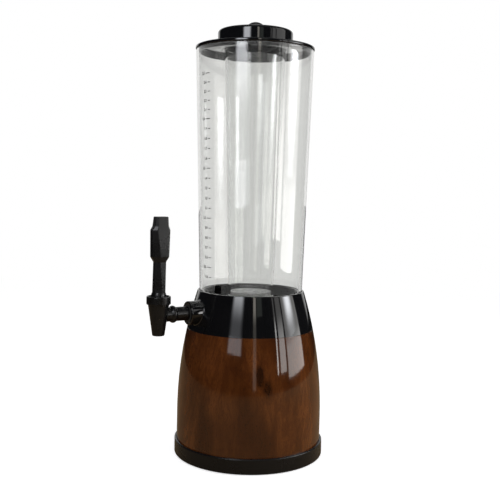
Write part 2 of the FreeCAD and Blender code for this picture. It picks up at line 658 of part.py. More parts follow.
socket_radius = size.ball_radius + size.fit_gap
guide_radius = size.stem_radius + size.running_gap
mouth_bottom = size.bonnet_top - size.mouth_depth
mouth_rise = mouth_bottom - size.ball_height
socket_mouth = root(socket_radius * socket_radius - mouth_rise * mouth_rise)
socket_bottom = size.ball_height - root(socket_radius * socket_radius - guide_radius * guide_radius)
seal_top = size.plug_bottom + size.ring_seal_height
bonnet = new_body("tap_bonnet")
place_at_tap(bonnet)
turn(bonnet, "socket_ring", [
    (size.bonnet_thread_radius - size.running_gap, size.spout_top),
    (size.bonnet_radius, size.spout_top),
    (size.bonnet_radius, size.bonnet_top), (size.mouth_radius, size.bonnet_top),
    (socket_mouth, mouth_bottom), (guide_radius, socket_bottom), (guide_radius, seal_top),
    (size.ring_seal_radius, seal_top), (size.ring_seal_radius, size.plug_bottom),
    (size.bonnet_thread_radius - size.running_gap, size.plug_bottom)],
    {4: ((0, size.ball_height), socket_radius)})
round_rims(bonnet, "bonnet_edges", size.bonnet_round,
           [(size.bonnet_radius, size.spout_top), (size.bonnet_radius, size.bonnet_top)])
extrude(bonnet, "pivot_holes", "YZ_Plane", -size.pivot_outer, size.pivot_outer * 2,
        disc(0, size.ball_height, size.pivot_radius), cut=True)

pins = new_body("pivot_pins")
place_at_tap(pins)
pin_length = size.pivot_outer - size.pivot_inner
left_pin = extrude(pins, "left_pin", "YZ_Plane", -size.pivot_outer, pin_length,
                   disc(0, size.ball_height, size.pivot_radius))
ring_of(pins, "both_pins", [left_pin], as_size(2))

# Handle: a faceted paddle and neck on a forked ball. Each section gives its height, the reach to the
# front and to the rear, the half width, the length of the front and rear bevels and their width

HANDLE_SECTIONS = [
    ("neck_foot", 21.8, 6.3, 6.3, 6.0, 8.0, 2.0, 3.2),
    ("neck_top", 55.0, 5.55, 7.0, 5.4, 4.6, 2.0, 3.0),
    ("paddle_foot", 60.2, 8.65, 10.15, 6.4, 8.0, 2.6, 3.4),
    ("paddle_shoulder", 86.0, 8.65, 10.95, 6.6, 4.6, 2.6, 3.2),
    ("tip_foot", 91.0, 6.0, 9.0, 6.2, 3.0, 1.8, 2.6),
    ("tip", 101.2, 4.0, 8.2, 5.6, 2.2, 1.6, 2.2),
]
section_names = ("height", "front", "rear", "half_width", "front_bevel", "rear_bevel", "bevel_width")
first_row = len(SIZES) + 1
sections = []
for part_name, *numbers in HANDLE_SECTIONS:
    section = {}
    for section_name, number in zip(section_names, numbers):
        alias = f"{part_name}_{section_name}"
        sheet.set(f"A{first_row}", alias.replace("_", " "))
        sheet.set(f"B{first_row}", str(number))
        sheet.setAlias(f"B{first_row}", alias)
        section[section_name] = Size(number, f"Sizes.{alias}")
        first_row += 1
    sections.append(section)
document.recompute()

handle = new_body("tap_handle")
place_at_tap(handle)
section_sketches = []
for (part_name, *_), section in zip(HANDLE_SECTIONS, sections):
    sketch = new_sketch(handle, part_name, "XY_Plane", section["height"])
    half = section["half_width"]
    narrow = half - section["bevel_width"]
    front, rear = -section["front"], section["rear"]
    front_flat = front + section["front_bevel"]
    rear_flat = rear - section["rear_bevel"]
    closed_outline(sketch, [
        (narrow, front), (half, front_flat), (half, rear_flat), (narrow, rear),
        (-narrow, rear), (-half, rear_flat), (-half, front_flat), (-narrow, front)])
    section_sketches.append(sketch)
paddle = handle.newObject("PartDesign::AdditiveLoft", "paddle")
paddle.Profile = section_sketches[0]
paddle.Sections = section_sketches[1:]
paddle.Ruled = True
document.recompute()
for ball_name, radius, height in (("ball", size.ball_radius, size.ball_height),
                                  ("neck_ball", size.neck_ball_radius, size.bonnet_top)):
    ball = handle.newObject("PartDesign::AdditiveSphere", ball_name)
    ball.Radius = radius.value
    ball.setExpression("Radius", radius.text)
    ball.Placement = FreeCAD.Placement(FreeCAD.Vector(0, 0, height.value), FreeCAD.Rotation())
    ball.setExpression("Placement.Base.z", height.text)
    document.recompute()
fork_start = -(size.fork_gap / 2)
extrude(handle, "fork_round", "YZ_Plane", fork_start, size.fork_gap,
        disc(0, size.ball_height, size.fork_radius), cut=True)
mouth_front = -(size.ball_radius + size.fit_gap)
extrude(handle, "fork_mouth", "YZ_Plane", fork_start, size.fork_gap,
        block(mouth_front, size.stem_radius + size.fit_gap * 2, size.ball_height + mouth_front,
              size.ball_height), cut=True)
extrude(handle, "pivot_bore", "YZ_Plane", -size.ball_radius, size.ball_radius * 2,
        disc(0, size.ball_height, size.pivot_radius + size.running_gap), cut=True)
extrude(handle, "drive_bore", "YZ_Plane", -(size.drive_length / 2), size.drive_length,
        disc(size.drive_offset, size.ball_height, size.drive_radius), cut=True)

drive_pin = new_body("drive_pin")
place_at_tap(drive_pin)
extrude(drive_pin, "pin", "YZ_Plane", -(size.drive_length / 2), size.drive_length,
        disc(size.drive_offset, size.ball_height, size.drive_radius))

# Stem with its slotted head, seat cup, seal and spring

seat_top = size.seat_gap - size.seat_drop
cup_top = seat_top + size.cup_height
stem_flange_top = cup_top + size.stem_flange
stem_foot = seat_top + size.cup_floor + size.running_gap
stem = new_body("tap_stem")
place_at_tap(stem)
turn(stem, "rod", [
    (0, stem_foot), (size.stem_radius, stem_foot), (size.stem_radius, cup_top),
    (size.stem_flange_radius, cup_top), (size.stem_flange_radius, stem_flange_top),
    (size.stem_radius, stem_flange_top), (size.stem_radius, size.ball_height), (0, size.ball_height)])
slot_half = size.drive_radius + size.drive_gap
slot_rear = size.drive_offset + slot_half
slot_front = size.drive_offset - size.drive_travel - slot_half
extrude(stem, "head", "YZ_Plane", -(size.head_width / 2), size.head_width,
        block(-size.stem_radius, slot_rear + size.head_end_wall,
              size.ball_height - size.head_half_height, size.ball_height + size.head_half_height))
extrude(stem, "slot", "YZ_Plane", -(size.head_width / 2), size.head_width,
        block(slot_front, slot_rear, size.ball_height - slot_half, size.ball_height + slot_half), cut=True)

cup = new_body("seat_cup")
place_at_tap(cup)
cup_bore = size.stem_radius + size.running_gap
turn(cup, "cup", [
    (0, seat_top), (size.cup_radius, seat_top), (size.cup_radius, seat_top + size.cup_lip),
    (size.stem_flange_radius, cup_top), (cup_bore, cup_top), (cup_bore, seat_top + size.cup_floor),
    (0, seat_top + size.cup_floor)])

stem_seal = new_body("stem_seal")
place_at_tap(stem_seal)
turn(stem_seal, "seal", [
    (guide_radius, size.plug_bottom), (size.ring_seal_radius, size.plug_bottom),
    (size.ring_seal_radius, seal_top), (guide_radius, seal_top)])


def helix_point(radius, start, pitch, angle):
    """Point on a helix of the given pitch at an angle, and the direction in which it runs there."""
    point = FreeCAD.Vector(radius * math.cos(angle), radius * math.sin(angle),
                           start + pitch * angle / (2 * math.pi))
    heading = FreeCAD.Vector(-radius * math.sin(angle), radius * math.cos(angle), pitch / (2 * math.pi))
    return point, heading.normalize()


def arc_from(point, heading, end):
    """Arc that leaves point along heading and reaches end."""
    chord = end - point
    lean = heading.getAngle(chord)
    side = (heading - chord * (heading.dot(chord) / chord.dot(chord))).normalize()
    middle = point + chord * 0.5 + side * (chord.Length / 2 * math.tan(lean / 2))
    return Part.Arc(point, middle, end).toShape()


def biarc(point, heading, end, end_heading):
    """Two arcs that meet without a kink and keep both headings."""
    chord = end - point
    spread = 2 * (1 - heading.dot(end_heading))
    reach = chord.dot(heading + end_heading)
    step = (math.sqrt(reach * reach + spread * chord.dot(chord)) - reach) / spread
    joint = (point + end + (heading - end_heading) * step) * 0.5
    first = arc_from(point, heading, joint)
    second = arc_from(end, end_heading * -1, joint)
    return [first, Part.Arc(joint, second.valueAt((second.FirstParameter + second.LastParameter) / 2),
                            end).toShape()]


wire = size.wire_radius.value
spring_low = stem_flange_top.value + wire
spring_high = size.plug_bottom.value - wire
pitch = (spring_high - spring_low) / size.spring_turns.value
quarters = int(size.spring_turns.value * 4)
path = []
for quarter in range(quarters):
    near, near_heading = helix_point(size.spring_radius.value, spring_low, pitch, quarter * math.pi / 2)
    far, far_heading = helix_point(size.spring_radius.value, spring_low, pitch, (quarter + 1) * math.pi / 2)
    path += biarc(near, near_heading, far, far_heading)
start_point, start_heading = helix_point(size.spring_radius.value, spring_low, pitch, 0)
section = Part.Wire([Part.Circle(start_point, start_heading, wire).toShape()])
spring = document.addObject("Part::Feature", "tap_spring")
spring.Shape = Part.Wire(path).makePipeShell([section], True, False)
place_at_tap(spring)
print(f"spring: pitch {pitch:.2f} mm, gap between turns {pitch - 2 * wire:.2f} mm")

# Check every object, then write one file for each sub-part

document.recompute()
for item in document.Objects:
    if "Invalid" in item.State or "Error" in item.State:
        raise RuntimeError(f"{item.Label} failed: {item.State}")
parts = [item for item in document.Objects if item.TypeId == "PartDesign::Body"] + [spring]
for part in parts:
    if part.Shape.isNull() or not part.Shape.isValid():
        raise RuntimeError(f"{part.Label} has no valid shape")
os.makedirs("parts", exist_ok=True)
for part in parts:
    part.Shape.exportStep(f"parts/{part.Label}.step")
    corners = part.Shape.BoundBox
    print(f"{part.Label}: {len(part.Shape.Solids)} solids, {part.Shape.Volume:.0f} mm3, "
          f"z {corners.ZMin:.1f} to {corners.ZMax:.1f}")
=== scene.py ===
import math

import bmesh
import bpy
import numpy as np
from mathutils import Matrix, Vector


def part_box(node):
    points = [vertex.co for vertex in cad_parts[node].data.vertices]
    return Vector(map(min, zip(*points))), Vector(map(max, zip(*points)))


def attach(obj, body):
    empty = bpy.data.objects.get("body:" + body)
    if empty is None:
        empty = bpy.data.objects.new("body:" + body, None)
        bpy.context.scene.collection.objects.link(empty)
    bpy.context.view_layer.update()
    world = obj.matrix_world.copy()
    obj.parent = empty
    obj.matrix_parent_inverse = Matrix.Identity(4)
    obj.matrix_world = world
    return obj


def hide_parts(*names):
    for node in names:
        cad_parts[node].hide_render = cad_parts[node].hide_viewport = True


# Table-top drink tower: a clear tapered tube with an ice tube in it, on a walnut-printed barrel with a
# lever tap. The tower's axis is Z, the tap points along -Y, and every length is in metres.

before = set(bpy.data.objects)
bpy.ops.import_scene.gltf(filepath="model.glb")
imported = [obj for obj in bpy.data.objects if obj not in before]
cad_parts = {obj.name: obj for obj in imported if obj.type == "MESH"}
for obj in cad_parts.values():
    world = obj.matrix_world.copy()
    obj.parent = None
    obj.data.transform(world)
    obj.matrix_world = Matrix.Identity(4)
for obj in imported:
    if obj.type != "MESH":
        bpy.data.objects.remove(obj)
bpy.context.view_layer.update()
MM = 0.001


# Camera
# A long lens, level with the tube's middle and tipped a little down, with the tap to the left.

CAMERA_BEARING = math.radians(-29.0)
CAMERA_DISTANCE = 862.98 * MM
CAMERA_SIDESTEP = -1.576 * MM
CAMERA_HEIGHT = 293.96 * MM
CAMERA_PITCH = 0.083
CAMERA_ROLL = 0.019
LENS_LENGTH, SENSOR_WIDTH = 57.43, 36

toward_camera = Vector((math.cos(CAMERA_BEARING), math.sin(CAMERA_BEARING), 0))
picture_right = Vector((-toward_camera.y, toward_camera.x, 0))
lens = bpy.data.cameras.new("camera")
lens.lens = LENS_LENGTH
lens.sensor_width = SENSOR_WIDTH
camera = bpy.data.objects.new("camera", lens)
bpy.context.scene.collection.objects.link(camera)
looking = -toward_camera * math.cos(CAMERA_PITCH) - Vector((0, 0, math.sin(CAMERA_PITCH)))
upward = picture_right.cross(looking)
across = picture_right * math.cos(CAMERA_ROLL) + upward * math.sin(CAMERA_ROLL)
upright = upward * math.cos(CAMERA_ROLL) - picture_right * math.sin(CAMERA_ROLL)
camera.matrix_world = Matrix.Translation(
    toward_camera * CAMERA_DISTANCE + picture_right * CAMERA_SIDESTEP + Vector((0, 0, CAMERA_HEIGHT))
) @ Matrix((across, upright, -looking)).transposed().to_4x4()
bpy.context.scene.camera = camera
bpy.context.scene.view_settings.view_transform = "Standard"


# Studio
# A pale floor before a white wall. Glossy pieces see a dim room with a brown table top instead, and tall
# soft boxes beside the camera, whose long straight reflections run down the barrel, the cap and the tube.

ROOM_FILL = 0.42
ROOM_COLOUR, WALL_COLOUR = (0.012, 0.013, 0.016, 1), (0.85, 0.85, 0.84, 1)
WALL_HALF_ANGLE, WALL_EDGE = math.radians(40), 0.05
CEILING_FROM, CEILING_TO, CEILING_GLOW = 0.75, 0.95, 0.35


def add(tree, kind, inputs=None, **settings):
    """Put a node in a tree. Its inputs are numbers, colours or other nodes' outputs."""
    node = tree.nodes.new(kind)
    for name, value in settings.items():
        setattr(node, name, value)
    for name, value in (inputs or {}).items():
        if isinstance(value, bpy.types.NodeSocket):
            tree.links.new(value, node.inputs[name])
        else:
            node.inputs[name].default_value = value
    return node


def calc(tree, operation, *terms, clamp=False):
    """The result of one arithmetic step on numbers or outputs."""
    node = add(tree, "ShaderNodeMath", dict(enumerate(terms)), operation=operation, use_clamp=clamp)
    return node.outputs[0]


def point_math(tree, operation, *terms, output="Vector"):
    """The result of one arithmetic step on points or directions."""
    return add(tree, "ShaderNodeVectorMath", dict(enumerate(terms)), operation=operation).outputs[output]


def fade(tree, value, low, high, at_low=0.0, at_high=1.0):
    """A value that eases from at_low to at_high while another goes from low to high."""
    terms = {"Value": value, "From Min": low, "From Max": high, "To Min": at_low, "To Max": at_high}
    return add(tree, "ShaderNodeMapRange", terms, interpolation_type="SMOOTHSTEP").outputs["Result"]


def blend_colours(tree, amount, first, second, mode="MIX"):
    """Two colours mixed by an amount."""
    node = add(tree, "ShaderNodeMix", {0: amount, 6: first, 7: second}, data_type="RGBA", blend_type=mode)
    return node.outputs[2]


def grey(level):
    """A neutral colour."""
    return (level, level, level, 1)


world = bpy.data.worlds.new("studio")
bpy.context.scene.world = world
world.use_nodes = True
room = world.node_tree
room.nodes.clear()
rays = add(room, "ShaderNodeLightPath").outputs
heading = add(room, "ShaderNodeTexCoord").outputs["Generated"]
behind = point_math(room, "DOT_PRODUCT", heading, -toward_camera, output="Value")
wall_start = math.cos(WALL_HALF_ANGLE)
wall = fade(room, behind, wall_start - WALL_EDGE, wall_start + WALL_EDGE)
upward_share = add(room, "ShaderNodeSeparateXYZ", {0: heading}).outputs["Z"]
overhead = fade(room, upward_share, CEILING_FROM, CEILING_TO)
bright = calc(room, "MAXIMUM", wall, calc(room, "MULTIPLY", overhead, CEILING_GLOW))
mirrored = blend_colours(room, bright, ROOM_COLOUR, WALL_COLOUR)
lit = blend_colours(room, rays["Is Glossy Ray"], grey(ROOM_FILL), mirrored)
seen = calc(room, "MAXIMUM", rays["Is Camera Ray"], rays["Is Transmission Ray"])
backdrop = add(room, "ShaderNodeBackground", {"Color": blend_colours(room, seen, lit, grey(1.0))})
add(room, "ShaderNodeOutputWorld", {"Surface": backdrop.outputs[0]})


def softbox(name, bearing, distance, width, low, high, colour, glow_below, glow_above, ramp, soft_edge):
    """A flat upright lamp, at a bearing in degrees from the camera toward the picture's right. Its glow
    changes between the two heights of the ramp and fades out over a share of its width at both sides."""
    lamp = bpy.data.lights.new(name, "AREA")
    lamp.shape = "RECTANGLE"
    lamp.size, lamp.size_y = width, high - low
    lamp.color = colour
    lamp.energy = width * (high - low) * math.pi
    lamp.use_nodes = True
    glow = lamp.node_tree
    glow.nodes.clear()
    face = add(glow, "ShaderNodeNewGeometry").outputs["Parametric"]
    place = add(glow, "ShaderNodeSeparateXYZ", {0: face}).outputs
    left_side = fade(glow, place["X"], 0.0, soft_edge)
    right_side = fade(glow, place["X"], 1.0, 1.0 - soft_edge)
    sides = calc(glow, "MULTIPLY", left_side, right_side)
    ramp_low, ramp_high = [(height - low) / (high - low) for height in ramp]
    height = fade(glow, place["Y"], ramp_low, ramp_high, glow_below, glow_above)
    strength = calc(glow, "MULTIPLY", sides, height)
    shine = add(glow, "ShaderNodeEmission", {"Color": grey(1.0), "Strength": strength})
    add(glow, "ShaderNodeOutputLight", {"Surface": shine.outputs[0]})
    box = bpy.data.objects.new(name, lamp)
    bpy.context.scene.collection.objects.link(box)
    angle = CAMERA_BEARING + math.radians(bearing)
    outward = Vector((math.cos(angle), math.sin(angle), 0))
    sideways = Vector((-outward.y, outward.x, 0))
    box.matrix_world = Matrix.Translation(outward * distance + Vector((0, 0, (low + high) / 2))) @ Matrix(
        (sideways, Vector((0, 0, 1)), outward)).transposed().to_4x4()


COOL, PLAIN, WARM, GREENISH = (0.93, 0.95, 1.0), (1.0, 0.99, 0.97), (1.0, 0.94, 0.84), (0.9, 1.0, 0.9)
SOFTBOXES = (
    # name, bearing, distance, width, low, high, colour, glow below and above the ramp, ramp, soft edge
    ("left_box", -25, 0.75, 0.36, 0.30, 0.90, COOL, 1.1, 9.5, (0.36, 0.60), 0.3),
    ("left_box_foot", -25, 0.76, 0.35, 0.21, 0.30, COOL, 2.4, 2.4, (0.21, 0.30), 0.15),
    ("door_gap", 8.3, 1.30, 0.15, 0.0, 1.2, WARM, 0.8, 3.2, (0.52, 0.72), 0.2),
    ("shelf", 18, 1.30, 0.30, 0.62, 1.2, GREENISH, 0.4, 0.4, (0.5, 0.6), 0.2),
    ("curtain_gap", 46.8, 1.20, 0.055, 0.10, 1.1, PLAIN, 8.0, 1.4, (0.40, 0.55), 0.2),
    ("side_window", 56.8, 1.20, 0.25, 0.10, 1.1, PLAIN, 4.6, 1.2, (0.30, 0.55), 0.1),
    ("right_box", 82.5, 1.05, 0.70, 0.05, 0.60, PLAIN, 4.2, 2.2, (0.22, 0.30), 0.06),
    ("right_box_head", 82.5, 1.05, 0.70, 0.60, 1.25, PLAIN, 1.3, 1.3, (0.6, 0.7), 0.06),
    ("right_window", 81, 1.03, 0.47, 0.27, 0.55, COOL, 2.6, 14.5, (0.30, 0.47), 0.45),
)
for box_values in SOFTBOXES:
    softbox(*box_values)

FLOOR_SIZE = 6.0
FLOOR_PAINT, NEAR_GLOW, FAR_GLOW = 0.82, 0.62, 1.0
GLOW_FROM, GLOW_TO = 0.5, 1.6
TABLE_RADIUS, TABLE_EDGE = 0.86, 0.05
TABLE_COLOUR, DARK_FLOOR = (0.32, 0.235, 0.14, 1), grey(0.02)
floor_mesh = bpy.data.meshes.new("floor")
floor_corners = [(-FLOOR_SIZE, -FLOOR_SIZE, 0), (FLOOR_SIZE, -FLOOR_SIZE, 0),
                 (FLOOR_SIZE, FLOOR_SIZE, 0), (-FLOOR_SIZE, FLOOR_SIZE, 0)]
floor_mesh.from_pydata(floor_corners, [], [(0, 1, 2, 3)])
floor = bpy.data.objects.new("floor", floor_mesh)
bpy.context.scene.collection.objects.link(floor)
paint = bpy.data.materials.new("pale_floor")
paint.use_nodes = True
tree = paint.node_tree
tree.nodes.clear()
rays = add(tree, "ShaderNodeLightPath").outputs
place = add(tree, "ShaderNodeTexCoord").outputs["Object"]
reach = point_math(tree, "LENGTH", place, output="Value")
beyond = fade(tree, reach, TABLE_RADIUS, TABLE_RADIUS + TABLE_EDGE)
shown = calc(tree, "MAXIMUM", rays["Is Camera Ray"], rays["Is Transmission Ray"])
table = blend_colours(tree, beyond, TABLE_COLOUR, DARK_FLOOR)
pale = blend_colours(tree, fade(tree, reach, GLOW_FROM, GLOW_TO), grey(FLOOR_PAINT), grey(0.0))
top = add(tree, "ShaderNodeBsdfDiffuse", {"Color": blend_colours(tree, shown, table, pale)})
glow = calc(tree, "MULTIPLY", shown, fade(tree, reach, GLOW_FROM, GLOW_TO, NEAR_GLOW, FAR_GLOW))
fill = add(tree, "ShaderNodeEmission", {"Color": grey(1.0), "Strength": glow})
both = add(tree, "ShaderNodeAddShader", {0: top.outputs[0], 1: fill.outputs[0]})
add(tree, "ShaderNodeOutputMaterial", {"Surface": both.outputs[0]})
floor_mesh.materials.append(paint)


# Feet, bottom plate and its screws
# Four rubber pads are stuck in recesses of a flat moulded plate, which four steel screws hold in the ring.
# They are rarely seen, so the solids stay and get the finish of moulded rubber, plastic and steel.

def new_group(name, inputs, outputs):
    """An empty shader node group. Inputs give a name and a start value, outputs a name and a kind."""
    group = bpy.data.node_groups.new(name, "ShaderNodeTree")
    for socket, value in inputs.items():
        made = group.interface.new_socket(socket, in_out="INPUT", socket_type="NodeSocketFloat")
        made.default_value = value
    for socket, kind in outputs.items():
        group.interface.new_socket(socket, in_out="OUTPUT", socket_type=kind)
    return group, add(group, "NodeGroupInput"), add(group, "NodeGroupOutput")


def use_group(tree, group, **values):
    """A group placed in a material with its own values; underscores stand for spaces."""
    node = add(tree, "ShaderNodeGroup", node_tree=group)
    for name, value in values.items():
        node.inputs[name.replace("_", " ")].default_value = value
    return node.outputs


def wire_up(tree, node, wires):
    """Link outputs to the named inputs of a node."""
    for name, source in wires.items():
        tree.links.new(source, node.inputs[name])


# Moulded skin: a fine spark-eroded grain, and broad patches where hands and cloths have polished it
moulded_skin, given, results = new_group(
    "moulded_skin",
    {"Grain Size": 0.4 * MM, "Patch Size": 30 * MM, "Smoothest": 0.3, "Roughest": 0.45},
    {"Roughness": "NodeSocketFloat", "Height": "NodeSocketFloat", "Patches": "NodeSocketFloat"})
place = add(moulded_skin, "ShaderNodeTexCoord").outputs["Object"]
grain_scale = calc(moulded_skin, "DIVIDE", 1.0, given.outputs["Grain Size"])
grain = add(moulded_skin, "ShaderNodeTexNoise", {"Vector": place, "Scale": grain_scale, "Detail": 2.0})
patch_scale = calc(moulded_skin, "DIVIDE", 1.0, given.outputs["Patch Size"])
patches = add(moulded_skin, "ShaderNodeTexNoise", {"Vector": place, "Scale": patch_scale, "Detail": 4.0})
polish = add(moulded_skin, "ShaderNodeMapRange", {
    "Value": patches.outputs["Fac"], "From Min": 0.3, "From Max": 0.7,
    "To Min": given.outputs["Smoothest"], "To Max": given.outputs["Roughest"]})
wire_up(moulded_skin, results, {
    "Roughness": polish.outputs["Result"], "Height": grain.outputs["Fac"],
    "Patches": patches.outputs["Fac"]})


def new_material(name):
    """An empty material and its node tree."""
    material = bpy.data.materials.new(name)
    material.use_nodes = True
    material.node_tree.nodes.clear()
    return material, material.node_tree


def finish(tree, shader):
    """Send a shader to the material's output."""
    add(tree, "ShaderNodeOutputMaterial", {"Surface": shader.outputs[0]})


def moulded(name, darker, lighter, smoothest, roughest, grain_size, grain_depth, **plain):
    """A moulded plastic or rubber: two close tones, a grain of the given depth, and plain shader values."""
    material, tree = new_material(name)
    skin = use_group(tree, moulded_skin, Grain_Size=grain_size, Smoothest=smoothest, Roughest=roughest)
    tone = blend_colours(tree, skin["Patches"], darker, lighter)
    bump = add(tree, "ShaderNodeBump", {"Height": skin["Height"], "Distance": grain_depth, "Strength": 1.0})
    shader = add(tree, "ShaderNodeBsdfPrincipled", {
        "Base Color": tone, "Roughness": skin["Roughness"], "Normal": bump.outputs["Normal"], **plain})
    finish(tree, shader)
    return material


def dress(node, material):
    """Give a solid of the frame a finish."""
    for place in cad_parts[node].material_slots:
        place.material = material


foot_rubber = moulded("foot_rubber", darker=grey(0.030), lighter=grey(0.055), smoothest=0.62, roughest=0.80,
                      grain_size=0.8 * MM, grain_depth=0.05 * MM)
satin_plastic = moulded("satin_black_plastic", darker=(0.0028, 0.0028, 0.0030, 1),
                        lighter=(0.0055, 0.0055, 0.0060, 1), smoothest=0.22, roughest=0.32,
                        grain_size=0.35 * MM, grain_depth=0.010 * MM, **{"Specular IOR Level": 0.36})

# Fine streaks: brushing or fibres that run along Z, with a length and a width of their own, which eddies
# of a second noise push aside by up to the swirl
fine_streaks, given, results = new_group(
    "fine_streaks", {"Width": 0.5 * MM, "Length": 20 * MM, "Contrast": 1.0, "Swirl": 0.0},
    {"Streaks": "NodeSocketFloat"})
place = add(fine_streaks, "ShaderNodeTexCoord").outputs["Object"]
eddies = add(fine_streaks, "ShaderNodeTexNoise", {"Vector": place, "Scale": 75.0, "Detail": 2.0})
centred = point_math(fine_streaks, "SUBTRACT", eddies.outputs["Color"], (0.5, 0.5, 0.5))
swirl = add(fine_streaks, "ShaderNodeVectorMath", {0: centred}, operation="SCALE")
wire_up(fine_streaks, swirl, {"Scale": given.outputs["Swirl"]})
stirred = point_math(fine_streaks, "ADD", place, swirl.outputs["Vector"])
parts = add(fine_streaks, "ShaderNodeSeparateXYZ", {0: stirred}).outputs
thin = [calc(fine_streaks, "DIVIDE", parts[axis], given.outputs["Width"]) for axis in ("X", "Y")]
long = calc(fine_streaks, "DIVIDE", parts["Z"], given.outputs["Length"])
drawn = add(fine_streaks, "ShaderNodeCombineXYZ", {"X": thin[0], "Y": thin[1], "Z": long}).outputs[0]
fibres = add(fine_streaks, "ShaderNodeTexNoise", {
    "Vector": drawn, "Scale": 1.0, "Detail": 3.0, "Roughness": 0.6})
deviation = calc(fine_streaks, "SUBTRACT", fibres.outputs["Fac"], 0.5)
spread = calc(fine_streaks, "MULTIPLY", deviation, given.outputs["Contrast"])
wire_up(fine_streaks, results, {"Streaks": calc(fine_streaks, "ADD", spread, 0.5, clamp=True)})


def bare_steel(name, tone, smoothest, roughest):
    """Steel whose tone and roughness follow fine drawn streaks."""
    material, tree = new_material(name)
    streaks = use_group(tree, fine_streaks, Width=0.25 * MM, Length=6 * MM, Contrast=1.4)["Streaks"]
    shader = add(tree, "ShaderNodeBsdfPrincipled", {
        "Base Color": blend_colours(tree, streaks, grey(tone * 0.85), grey(tone)),
        "Roughness": fade(tree, streaks, 0.0, 1.0, smoothest, roughest), "Metallic": 1.0})
    finish(tree, shader)
    return material


screw_steel = bare_steel("screw_steel", 0.62, 0.22, 0.42)
dress("rubber_feet", foot_rubber)
dress("bottom_plate", satin_plastic)
dress("plate_screws", screw_steel)
dress("seam_screws", screw_steel)


# Base ring
# A satin black moulded ring with rounded outer edges. The barrel stands in its groove, behind a narrow
# dark gap, and its flange underneath takes the bottom plate.

RING_FLANGE_RADIUS = 62.0 * MM
RING_WALL = 2.2 * MM
RING_ROUND = 1.2 * MM
RING_LIP_TOP = 12.0 * MM
GROOVE_GAP = 0.3 * MM
PLATE_THICKNESS = 2.5 * MM
BARREL_WALL = 2.5 * MM
SHADING_MARGIN = 0.25 * MM


def rounded(corners, arc_steps=5):
    """A closed outline of (across, up, rounding) corners.

    Each corner is cut back by rounding / tan(half its angle) along both sides and replaced by an arc.
    Long straight sides get two more points near their ends, which keep the shading of the arcs narrow.
    """
    centres = np.array([corner[:2] for corner in corners], float)
    outline = []
    for index, (across, up, rounding) in enumerate(corners):
        here = centres[index]
        if rounding == 0:
            outline.append(here[None])
            continue
        back, ahead = centres[index - 1] - here, centres[(index + 1) % len(centres)] - here
        back, ahead = back / np.linalg.norm(back), ahead / np.linalg.norm(ahead)
        half = math.acos(np.clip(back @ ahead, -1, 1)) / 2
        middle = here + (back + ahead) / np.linalg.norm(back + ahead) * rounding / math.sin(half)
        first = here + back * rounding / math.tan(half) - middle
        last = here + ahead * rounding / math.tan(half) - middle
        share = np.linspace(0, 1, arc_steps + 1)[:, None]
        swing = math.pi - 2 * half
        arc = first * np.sin((1 - share) * swing) + last * np.sin(share * swing)
        outline.append(middle + arc / math.sin(swing))
    outline = np.vstack(outline)
    following = np.roll(outline, -1, axis=0)
    lengths = np.linalg.norm(following - outline, axis=1)
    held = []
    for point, target, length in zip(outline, following, lengths):
        held.append(point)
        if length > 4 * SHADING_MARGIN:
            step = (target - point) * SHADING_MARGIN / length
            held += [point + step, target - step]
    return np.array(held)


def turned(outline, columns=192, centre=(0, 0, 0), lengthwise="Z"):
    """A surface of revolution: the outline's first number is the distance from the axis and its second
    the place along it. The axis runs through centre along Z, along -Y for "Y", or along X for "X"."""
    angles = np.linspace(0, 2 * math.pi, columns, endpoint=False)
    radius, along = outline[:, 0, None], outline[:, 1, None] + np.zeros(columns)
    if lengthwise == "Z":
        points = np.stack([radius * np.cos(angles), radius * np.sin(angles), along], axis=-1)
    elif lengthwise == "Y":
        points = np.stack([radius * np.cos(angles), -along, radius * np.sin(angles)], axis=-1)
    else:
        points = np.stack([along, radius * np.cos(angles), radius * np.sin(angles)], axis=-1)
    return points + np.array(centre), True, True


def sewn(points, closed_rows, closed_columns):
    """Vertices and quad faces of a grid of points. A closed direction joins its end to its start."""
    rows, columns = points.shape[:2]
    numbers = np.arange(rows * columns).reshape(rows, columns)
    down = np.vstack([numbers, numbers[:1]]) if closed_rows else numbers
    down = np.hstack([down, down[:, :1]]) if closed_columns else down
    faces = np.stack([down[:-1, :-1], down[:-1, 1:], down[1:, 1:], down[1:, :-1]], axis=-1).reshape(-1, 4)
    return points.reshape(-1, 3), faces


def piece(name, body, slot, material, *surfaces, smooth=True, stands_for=()):
    """Join grids of points into one closed object that rides on a body and takes the given material. The
    slot is not used.
    """
    points, faces, count = [], [], 0
    for surface in surfaces:
        vertices, quads = sewn(*surface)
        points.append(vertices)
        faces.append(quads + count)
        count += len(vertices)
    points, faces = np.vstack(points), np.vstack(faces)
    mesh = bpy.data.meshes.new(name)
    mesh.from_pydata(points.tolist(), [], faces.tolist())
    work = bmesh.new()
    work.from_mesh(mesh)
    bmesh.ops.remove_doubles(work, verts=work.verts, dist=1e-7)
    bmesh.ops.dissolve_degenerate(work, edges=work.edges, dist=1e-8)
    bmesh.ops.recalc_face_normals(work, faces=work.faces)
    work.to_mesh(mesh)
    work.free()
    if smooth:
        mesh.shade_smooth()
    else:
        mesh.shade_flat()
    mesh.materials.append(material)
    made = bpy.data.objects.new(name, mesh)
    bpy.context.scene.collection.objects.link(made)
    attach(made, body)
    if stands_for:
        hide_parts(*stands_for)
    return made


